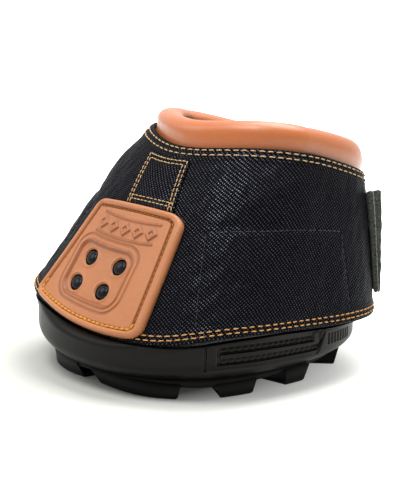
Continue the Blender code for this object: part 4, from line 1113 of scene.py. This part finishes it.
def cup_relief(angle, share):
    """Depth of the recess panel, its slots with link-like bumps, the Z-step and the grille."""
    side = folded(angle)

    def block(front, rear, low, high, soft=0.25, level_soft=0.012):
        return window(side, front, rear, soft) * window(share, low, high, level_soft)

    cuts = [PANEL_DEPTH * block(PANEL_FRONT, PANEL_REAR, PANEL_LOW, PANEL_HIGH, 0.25, 0.014),
            EDGE_DEPTH * block(PANEL_FRONT - 0.9, PANEL_FRONT + 0.2, PANEL_LOW, PANEL_HIGH, 0.2, 0.014)]
    bead = 0.38 * np.abs(np.sin(math.pi * side / 2.9)) ** 0.7
    for middle, rear in zip(SLOTS, SLOT_REARS):
        floor = SLOT_DEPTH * (1 - bead * bell(share - middle + 0.01, 0.036))
        cuts.append(floor * block(SLOT_FRONT, rear, middle - SLOT_HALF, middle + SLOT_HALF))
    run = np.clip((side - STEP_FRONT) / (STEP_REAR - STEP_FRONT), 0, 1)
    step_low = SLOTS[0] - SLOT_HALF + (PANEL_HIGH - SLOTS[0] - SLOT_HALF) * run
    blocks = [block(SLOT_FRONT, SLOT_FRONT + 1.5, SLOTS[0] - 0.06, SLOTS[1] + 0.06),
              block(SLOT_REARS[1] - 1.6, SLOT_REARS[1], SLOTS[1], PANEL_HIGH),
              block(STEP_FRONT, STEP_REAR, step_low, step_low + 2 * SLOT_HALF, 0.2)]
    for count in range(GRILLE_COUNT):
        start = GRILLE_FRONT + count * GRILLE_PITCH
        blocks.append(block(start, start + GRILLE_BAR, *GRILLE_SHARES, 0.16))
    return np.maximum.reduce(cuts + [SLOT_DEPTH * part for part in blocks])


def cup_angles():
    side = np.concatenate([even(0, 53, 1.0), even(53, 57, 0.16), even(57, 106, 0.4), even(106, 129.5, 0.14),
                           even(129.5, 180, 1.1)])
    side = np.unique(np.round(side, 4))
    return np.concatenate([-side[:0:-1], side])[1:]


def axis_distance(points):
    return np.hypot(points[..., 0], points[..., 1])


def cup_outside(angle, edge, shoulder):
    """Rings of the wall's outer face, from its foot to the ledge under the hem."""
    hem_z, low_z = hem_height(angle), foot_z(angle)
    share = np.concatenate([np.linspace(0, 0.32, 18)[:-1], np.linspace(0.32, SHOULDER_SHARE, 78)])[None, :]
    below = np.maximum(BULGE_SHARE - share, 0) / BULGE_SHARE
    flat = cup_oval(angle + 0 * share, SHELL_FOOT_INSET * below ** ROUNDING_POWER)
    side = outline(flat, low_z + share * (hem_z - low_z))
    low = side[:, -1:]
    shoulder[..., 2] = (low[..., 2] + 3 * edge[..., 2]) / 4
    bend = bezier(low, shoulder, edge, np.linspace(0, 1, 30)[1:, None])
    outside = np.concatenate([side, bend], 1)
    real_share = (outside[..., 2] - SHELL_FOOT_Z) / (hem_z - SHELL_FOOT_Z)
    outside[..., :2] -= unit(outside[..., :2]) * cup_relief(angle, real_share)[..., None]
    return outside


def cup_inside(angle, under):
    """Rings up the wall behind the upper, over its crest and down its inner face."""
    wall_back, rise = WALL_FACE - SHELL_WALL, np.linspace(0, 1, 6)
    up = upper_point(angle, under + (WALL_TOP_SHARE - under) * rise, WALL_FACE - GAP)
    middle, half = (WALL_FACE - GAP + wall_back) / 2, (WALL_FACE - GAP - wall_back) / 2
    turn = np.radians([30, 60, 90, 120, 150])
    crest_share = WALL_TOP_SHARE + 1.0 * MM / slant(angle) * np.sin(turn)
    crest = upper_point(angle, crest_share, middle + half * np.cos(turn))
    down = upper_point(angle, WALL_TOP_SHARE * rise[::-1], wall_back)
    root = outline(oval(SHELL, angle, WALL_ROOT), 0)
    down[..., :2] *= np.minimum(1, axis_distance(root) / axis_distance(down))[..., None]
    return up, crest, down


def build_cup():
    angle = cup_angles()[:, None]
    low_z = foot_z(angle)
    under = -1.3 * MM / slant(angle)
    shoulder = outline(oval(SHELL, angle, SHOULDER_INSET), 0)
    wall = upper_point(angle, 0, WALL_FACE)
    shoulder = shoulder * np.maximum(1, axis_distance(wall) / axis_distance(shoulder))[..., None]
    overhang = axis_distance(upper_face(angle, 0.0)) - axis_distance(shoulder)
    reach = -np.clip(overhang, 0, -WALL_FACE)
    outside = cup_outside(angle, upper_point(angle, under, reach), shoulder)
    ledge = upper_point(angle, under, reach - GAP)

    def flat_ring(inset, z, scale=1.0):
        return outline(oval(SHELL, angle, inset), z) * (scale, scale, 1)

    sole = [flat_ring(SHELL_FOOT_INSET, low_z, scale) for scale in (0.05, 0.3, 0.6, 0.85)]
    for inset, drop in ((2.6 * MM, 0.0), (1.8 * MM, 0.45 * MM), (0.9 * MM, 0.40 * MM)):
        sole.append(outline(cup_oval(angle, SHELL_FOOT_INSET + inset), low_z - drop))
    basin = [flat_ring(CAVITY_INSET, CAVITY_Z),
             flat_ring((CAVITY_INSET + FLOOR_INSET) / 2, (CAVITY_Z + 3 * FLOOR_Z) / 4)]
    floor = [flat_ring(FLOOR_INSET, FLOOR_Z, scale) for scale in (1.0, 0.8, 0.6, 0.4, 0.2, 0.05)]
    rings = np.concatenate([*sole, outside, ledge, *cup_inside(angle, under), *basin, *floor], 1)
    rings = rings.transpose(1, 0, 2)
    piece = make_piece("rubber_cup", rings.reshape(-1, 3), ring_faces(*rings.shape[:2]), shell_rubber)
    settle(piece, "boot", "shell_rubber", "lower_shell")


build_cup()


# Tread

TOE_GAP = 7.5
LUG_BOTTOM, LUG_CORNER = 2.1 * MM, 1.3 * MM
PAD = (0.0240, 0.0290, 0.0290, 3.0, 3.0)
PAD_LEVELS = ((2.0 * MM, 0.0), (1.2 * MM, 0.1 * MM), (0.8 * MM, 0.6 * MM), (0.0, 8.4 * MM))


def lug_section(corners, lift):
    """Section of a lug from outer top to inner top: straight sides and round lower corners."""
    ring = [corners[0]]
    for before, here, after in (corners[:3], corners[1:]):
        first, last = here + unit(before - here) * LUG_CORNER, here + unit(after - here) * LUG_CORNER
        ring += [bezier(first, here, last, t) for t in np.linspace(0, 1, 6)]
    ring = np.stack(ring + [corners[3]], 1)
    ring[..., 2] = np.maximum(ring[..., 2], lift[:, None])
    return ring


def lug_mesh(start, end):
    length = end - start
    ends = np.array([0, 0.12, 0.3, 0.55, 0.9, 1.3])
    ease = np.concatenate([ends, even(1.9, length - 1.9, 0.8), length - ends[::-1]])
    angle = start + ease
    top_z = np.minimum(gap_z(angle) + 1.6 * MM, 9.0 * MM)
    draft = np.degrees(1.6 * MM / SHELL[0]) * (1 - 2 * ease / length)
    rocker = TOE_ROCKER * np.maximum(np.cos(np.radians(angle)), 0) ** TOE_ROCKER_POWER
    spread = smooth_table(folded(angle), LUG_TURNS, LUG_SPREADS, 10.0)
    sole_inset = LUG_INSET + rocker - spread
    inner_inset = sole_inset + LUG_DEPTH
    near_end = np.minimum(ease, length - ease) * 1.25 * MM
    lift = LUG_BOTTOM - np.sqrt(np.maximum(LUG_BOTTOM ** 2 - np.maximum(LUG_BOTTOM - near_end, 0) ** 2, 0))
    return lug_section([outline(cup_oval(angle, PLATE_INSET + 0.3 * MM - spread), top_z),
                        outline(oval(SHELL, angle + draft, sole_inset), 0.0),
                        outline(oval(SHELL, angle + draft, inner_inset), 0.0),
                        outline(oval(SHELL, angle, inner_inset + LUG_DRAFT), top_z)], lift)


def build_tread():
    blocks = []
    for start, end in LUG_ENDS:
        blocks += [lug_mesh(start, end), lug_mesh(-end, -max(start, TOE_GAP))]
    angle = np.arange(0, 360, 2.0)
    low_z, high_z = gap_z(angle), foot_z(angle) - 0.4 * MM
    section = ((22.0 * MM, 7.0 * MM), (1.2 * MM, low_z), (0.75 * MM, low_z + 0.15 * MM),
               (0.6 * MM, low_z + 0.6 * MM), (0.2 * MM, high_z), (22.0 * MM, 9.0 * MM))
    blocks.append(np.stack([outline(cup_oval(angle, PLATE_INSET + inset), z) for inset, z in section]))
    blocks.append(np.stack([outline(oval(PAD, angle, inset), z) for inset, z in PAD_LEVELS]))
    faces, base = [], 0
    for block in blocks:
        faces += ring_faces(*block.shape[:2], base, turned=True)
        base += block.shape[0] * block.shape[1]
    points = np.concatenate([block.reshape(-1, 3) for block in blocks])
    piece = make_piece("tread_lugs", points, faces, tread_rubber)
    settle(piece, "boot", "tread_rubber", "tread")


build_tread()
for name in ("side_stiffener_right", "side_stiffener_left"):
    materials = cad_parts[name].data.materials
    materials.clear()
    materials.append(stiffener_sheet)


# Stitching

FACE = 0.35 * MM
STRAP_FACE = GAP + STRAP_THICKNESS - 0.1 * MM


def hem_rows(start, end, rows, edge):
    """Rows along the hem at share 0 or 1, a little short of the piece's ends."""
    return [level_row(start + 1.5, end - 1.5, lambda angle: abs(edge - row / slant(angle)), FACE) for row in rows]


def tonal_rows():
    rows = []
    for side in (1, -1):
        rows.append(level_row(side * 45.5, side * 110.6, TONAL_TOP, 0.15 * MM))
        for ends in (TONAL_FRONT, TONAL_REAR):
            rows.append(rise_row(lambda share: side * tonal_edge(share, ends), 0.075, TONAL_TOP - 0.01, 0.0))
    return rows


def strap_rows():
    """Two rows round the strap's sides and top, and two above the toe guard."""
    rows = []
    for row in STRAP_ROWS:
        high = STRAP_SHARES[1] - row / FRONT_SLANT
        turn = np.array([-1, -1, 1, 1])
        shares = np.array([strap_low(-0.0107) + 0.004, high, high, strap_low(0.0223) + 0.004])
        rows.append(front_row(strap_middle(shares) + turn * (strap_half(shares) - row), shares, STRAP_FACE))
        across = np.linspace(strap_middle(0.67) - 15.0 * MM, strap_middle(0.67) + 15.0 * MM, 8)
        rows.append(front_row(across, strap_low(across) + (row + 1.4 * MM) / FRONT_SLANT, STRAP_FACE))
    return rows


def guard_line(start, end, lift, count=700):
    """Row in the guard's groove between two directions in degrees, seen from the guard's middle."""
    turn = np.radians(np.linspace(start, end, count))
    step_x, step_share = np.cos(turn), np.sin(turn) / FRONT_SLANT
    low, high = np.zeros(count), np.full(count, 0.06)
    for halving in range(30):
        middle = (low + high) / 2
        depth = edge_distance(middle * step_x - 1.0 * MM, middle * step_share + 0.32)
        inside = depth > FIELD_EDGE - GROOVE_WIDTH / 2
        low, high = np.where(inside, middle, low), np.where(inside, high, middle)
    x, share = low * step_x - 1.0 * MM, low * step_share + 0.32
    angle = angle_at(x, share)
    return upper_point(angle, share, PATCH_FACE - GROOVE_DEPTH + lift), slopes(angle, share)[2]


def flap_lines():
    def face(angle):
        return FLAP_FACE - flap_drop(angle) + 0.15 * MM

    rows = []
    for row in FLAP_ROWS:
        for edge, inward in zip(FLAP_SHARES, (1, -1)):
            share = lambda angle: edge + inward * row / slant(angle)
            rows.append(level_row(TAB_HINGE + 1.0, ROOT_ANGLE - 1.5, share, face))
    return rows


def root_line(turn):
    return rise_row(turn, FLAP_SHARES[0] + 0.03, FLAP_SHARES[1] - 0.03, ROOT_FACE - 0.05 * MM)


def tab_line(run):
    share = np.linspace(FLAP_SHARES[0] + 0.015, FLAP_SHARES[1] - 0.015, 80)
    points = tab_point(run + 0 * share, share, FLAP_FACE + 0.05 * MM)
    return points, slopes(TAB_HINGE - 3 + 0 * share, share)[2]


def fold_line():
    """Row along the free edge of the binding's fold."""
    share = np.linspace(*FLAP_SHARES, 90)
    points = tab_point(1.0 + 0 * share, share, FOLD_FACE + 0.1 * MM + FOLD_SPREAD * flap_climb(share))
    return points, -slopes(TAB_LOW + 0 * share, share)[0]


boot_ends, heel_ends = (-QUARTER_ANGLE, QUARTER_ANGLE), (heel_start, HEEL_FLAP_END)
heel_rows = hem_rows(*heel_ends, TOP_ROWS, 1) + hem_rows(*heel_ends, LOW_ROWS, 0)
# Name, thread, rows, body, slot, pitch, stitch length and thread radius in millimetres, seed
STITCHING = (
    ("top_hem_stitching", cream_thread, hem_rows(*boot_ends, TOP_ROWS, 1), "boot", "nylon", 4.3, 3.35, 0.31, 1),
    ("low_hem_stitching", gold_thread, hem_rows(*boot_ends, LOW_ROWS, 0), "boot", "nylon", 4.15, 3.25, 0.31, 2),
    ("heel_hem_stitching", gold_thread, heel_rows, "heel_flap", "nylon", 3.75, 2.8, 0.31, 3),
    ("tonal_stitching", tonal_thread, tonal_rows(), "boot", "nylon", 3.4, 2.5, 0.3, 4),
    ("strap_stitching", cream_thread, strap_rows(), "boot", "webbing", 2.7, 2.2, 0.27, 5),
    ("guard_low_stitching", amber_thread, [guard_line(-151.0, -36.5, 0.85 * MM)], "boot", "patch_leather",
     3.2, 3.4, 0.66, 6),
    ("guard_side_stitching", brown_thread, [guard_line(-35.0, 207.0, 0.35 * MM, 1500)], "boot", "patch_leather",
     2.9, 2.4, 0.26, 10),
    ("flap_stitching", gold_thread, flap_lines(), "outer_flap", "nylon", 3.75, 2.8, 0.31, 7),
    ("root_stitching", gold_thread, [root_line(232.5), root_line(236.0)], "boot", "nylon", 3.75, 2.8, 0.31, 8),
    ("tab_stitching", tonal_thread, [tab_line(0.12), tab_line(TAB_EDGE - 0.10)], "grip_tab", "nylon",
     3.0, 2.2, 0.36, 9),
    ("fold_edge", pale_thread, [fold_line()], "grip_tab", "binding", 2.6, 2.9, 0.30, 12),
)
for stitching in STITCHING:
    thread_piece(*stitching)


# Floor, light and camera

# The floor's glow for camera and glossy rays falls to FLOOR_GLOW near a middle moved from the boot's centre
# towards its toe and left side, and is full white away from it: a painted shadow, laid over the lamps' real
# shadow.
FLOOR_SIZE, FLOOR_GLOW, PAINTED_SHADOW_MIDDLE = 3.0, 0.03, (-0.032, -0.026, 0.0)
AZIMUTH, ELEVATION, ROLL = 48.55, 13.79, 0.68
SHIFT_RIGHT, SHIFT_UP, FOCAL, DISTANCE = 0.00615, 0.05643, 2147.94, 1.1
PICTURE_HEIGHT, SENSOR = 500, 36.0


def build_floor():
    size = FLOOR_SIZE
    mesh = bpy.data.meshes.new("studio_floor")
    mesh.from_pydata([(-size, -size, 0), (size, -size, 0), (size, size, 0), (-size, size, 0)], [], [(0, 1, 2, 3)])
    floor = bpy.data.objects.new("studio_floor", mesh)
    bpy.context.scene.collection.objects.link(floor)
    look = new_look("pale_floor")
    colour = look.mixed(look.noise(6.0, 2.0), (0.79, 0.795, 0.74), (0.82, 0.825, 0.77))
    look.tree.links.new(colour, look.shader.inputs["Base Color"])
    look.shader.inputs["Roughness"].default_value = 0.7
    look.shader.inputs["Specular IOR Level"].default_value = 0.2
    rays = look.put("ShaderNodeLightPath").outputs
    seen = look.calc("MAXIMUM", rays["Is Camera Ray"], rays["Is Glossy Ray"])
    # Painted shadow: the glow fades towards this middle, so the floor is darkest round the boot's toe and left
    # side.
    moved = look.vector("SUBTRACT", {0: look.spot(), 1: PAINTED_SHADOW_MIDDLE})
    away = look.put("ShaderNodeVectorMath", {0: moved}, operation="LENGTH").outputs["Value"]
    strength = look.times(seen, look.ramp(away, FLOOR_GLOW, 1.0, 0.072, 0.172))
    glow = look.put("ShaderNodeEmission", {"Color": (1.0, 1.0, 0.985, 1), "Strength": strength})
    both = look.put("ShaderNodeAddShader", {0: look.shader.outputs[0], 1: glow.outputs[0]})
    look.tree.links.new(both.outputs[0], look.tree.nodes["Material Output"].inputs["Surface"])
    mesh.materials.append(look.owner)


def camera_axes():
    a, e, r = (math.radians(value) for value in (AZIMUTH, ELEVATION, ROLL))
    back = Vector((math.sin(a) * math.cos(e), -math.cos(a) * math.cos(e), math.sin(e)))
    right = Vector((math.cos(a), math.sin(a), 0.0))
    up = back.cross(right)
    return right * math.cos(r) + up * math.sin(r), up * math.cos(r) - right * math.sin(r), back


def build_camera():
    right, up, back = camera_axes()
    data = bpy.data.cameras.new("camera")
    data.sensor_width = SENSOR
    data.lens = FOCAL / PICTURE_HEIGHT * SENSOR
    data.clip_start, data.clip_end = 0.05, 20.0
    camera = bpy.data.objects.new("camera", data)
    place = right * SHIFT_RIGHT + up * SHIFT_UP + back * DISTANCE
    turn = Matrix((right, up, back)).transposed().to_4x4()
    camera.matrix_world = Matrix.Translation(place) @ turn
    bpy.context.scene.collection.objects.link(camera)
    bpy.context.scene.camera = camera


def add_light(name, place, target, size, energy):
    data = bpy.data.lights.new(name, "AREA")
    data.shape, data.size, data.energy = "SQUARE", size, energy
    light = bpy.data.objects.new(name, data)
    light.location = place
    light.rotation_mode = "QUATERNION"
    light.rotation_quaternion = (Vector(place) - Vector(target)).to_track_quat("Z", "Y")
    bpy.context.scene.collection.objects.link(light)


def build_lights():
    """Three square lamps, placed by their way back to the camera, to its right and up from the middle."""
    right, up, back = camera_axes()
    flat_back, flat_right = (Vector((axis.x, axis.y, 0)).normalized() for axis in (back, right))
    middle = Vector((0, 0, 0.06))
    for name, way_back, way_right, way_up, size, energy in (
            ("key", 0.42, -0.34, 1.18, 0.50, 8.5), ("top", -0.30, 0.25, 0.95, 0.80, 12.5),
            ("fill", -0.1, -0.95, 0.8, 0.5, 2.4)):
        place = middle + flat_back * way_back + flat_right * way_right + Vector((0, 0, way_up))
        add_light(name, place, middle, size, energy)


def build_world():
    world = bpy.data.worlds.new("studio")
    bpy.context.scene.world = world
    look = Look(world)
    rays = look.put("ShaderNodeLightPath").outputs
    seen = look.calc("MAXIMUM", rays["Is Camera Ray"], rays["Is Glossy Ray"])
    seen = look.calc("MAXIMUM", seen, rays["Is Transmission Ray"])
    background = look.tree.nodes["Background"]
    background.inputs["Color"].default_value = (1, 1, 1, 1)
    look.tree.links.new(look.ramp(seen, 0.20, 1.0, 0.0, 1.0), background.inputs["Strength"])


build_floor()
build_camera()
build_lights()
build_world()
bpy.context.scene.view_settings.view_transform = "Standard"
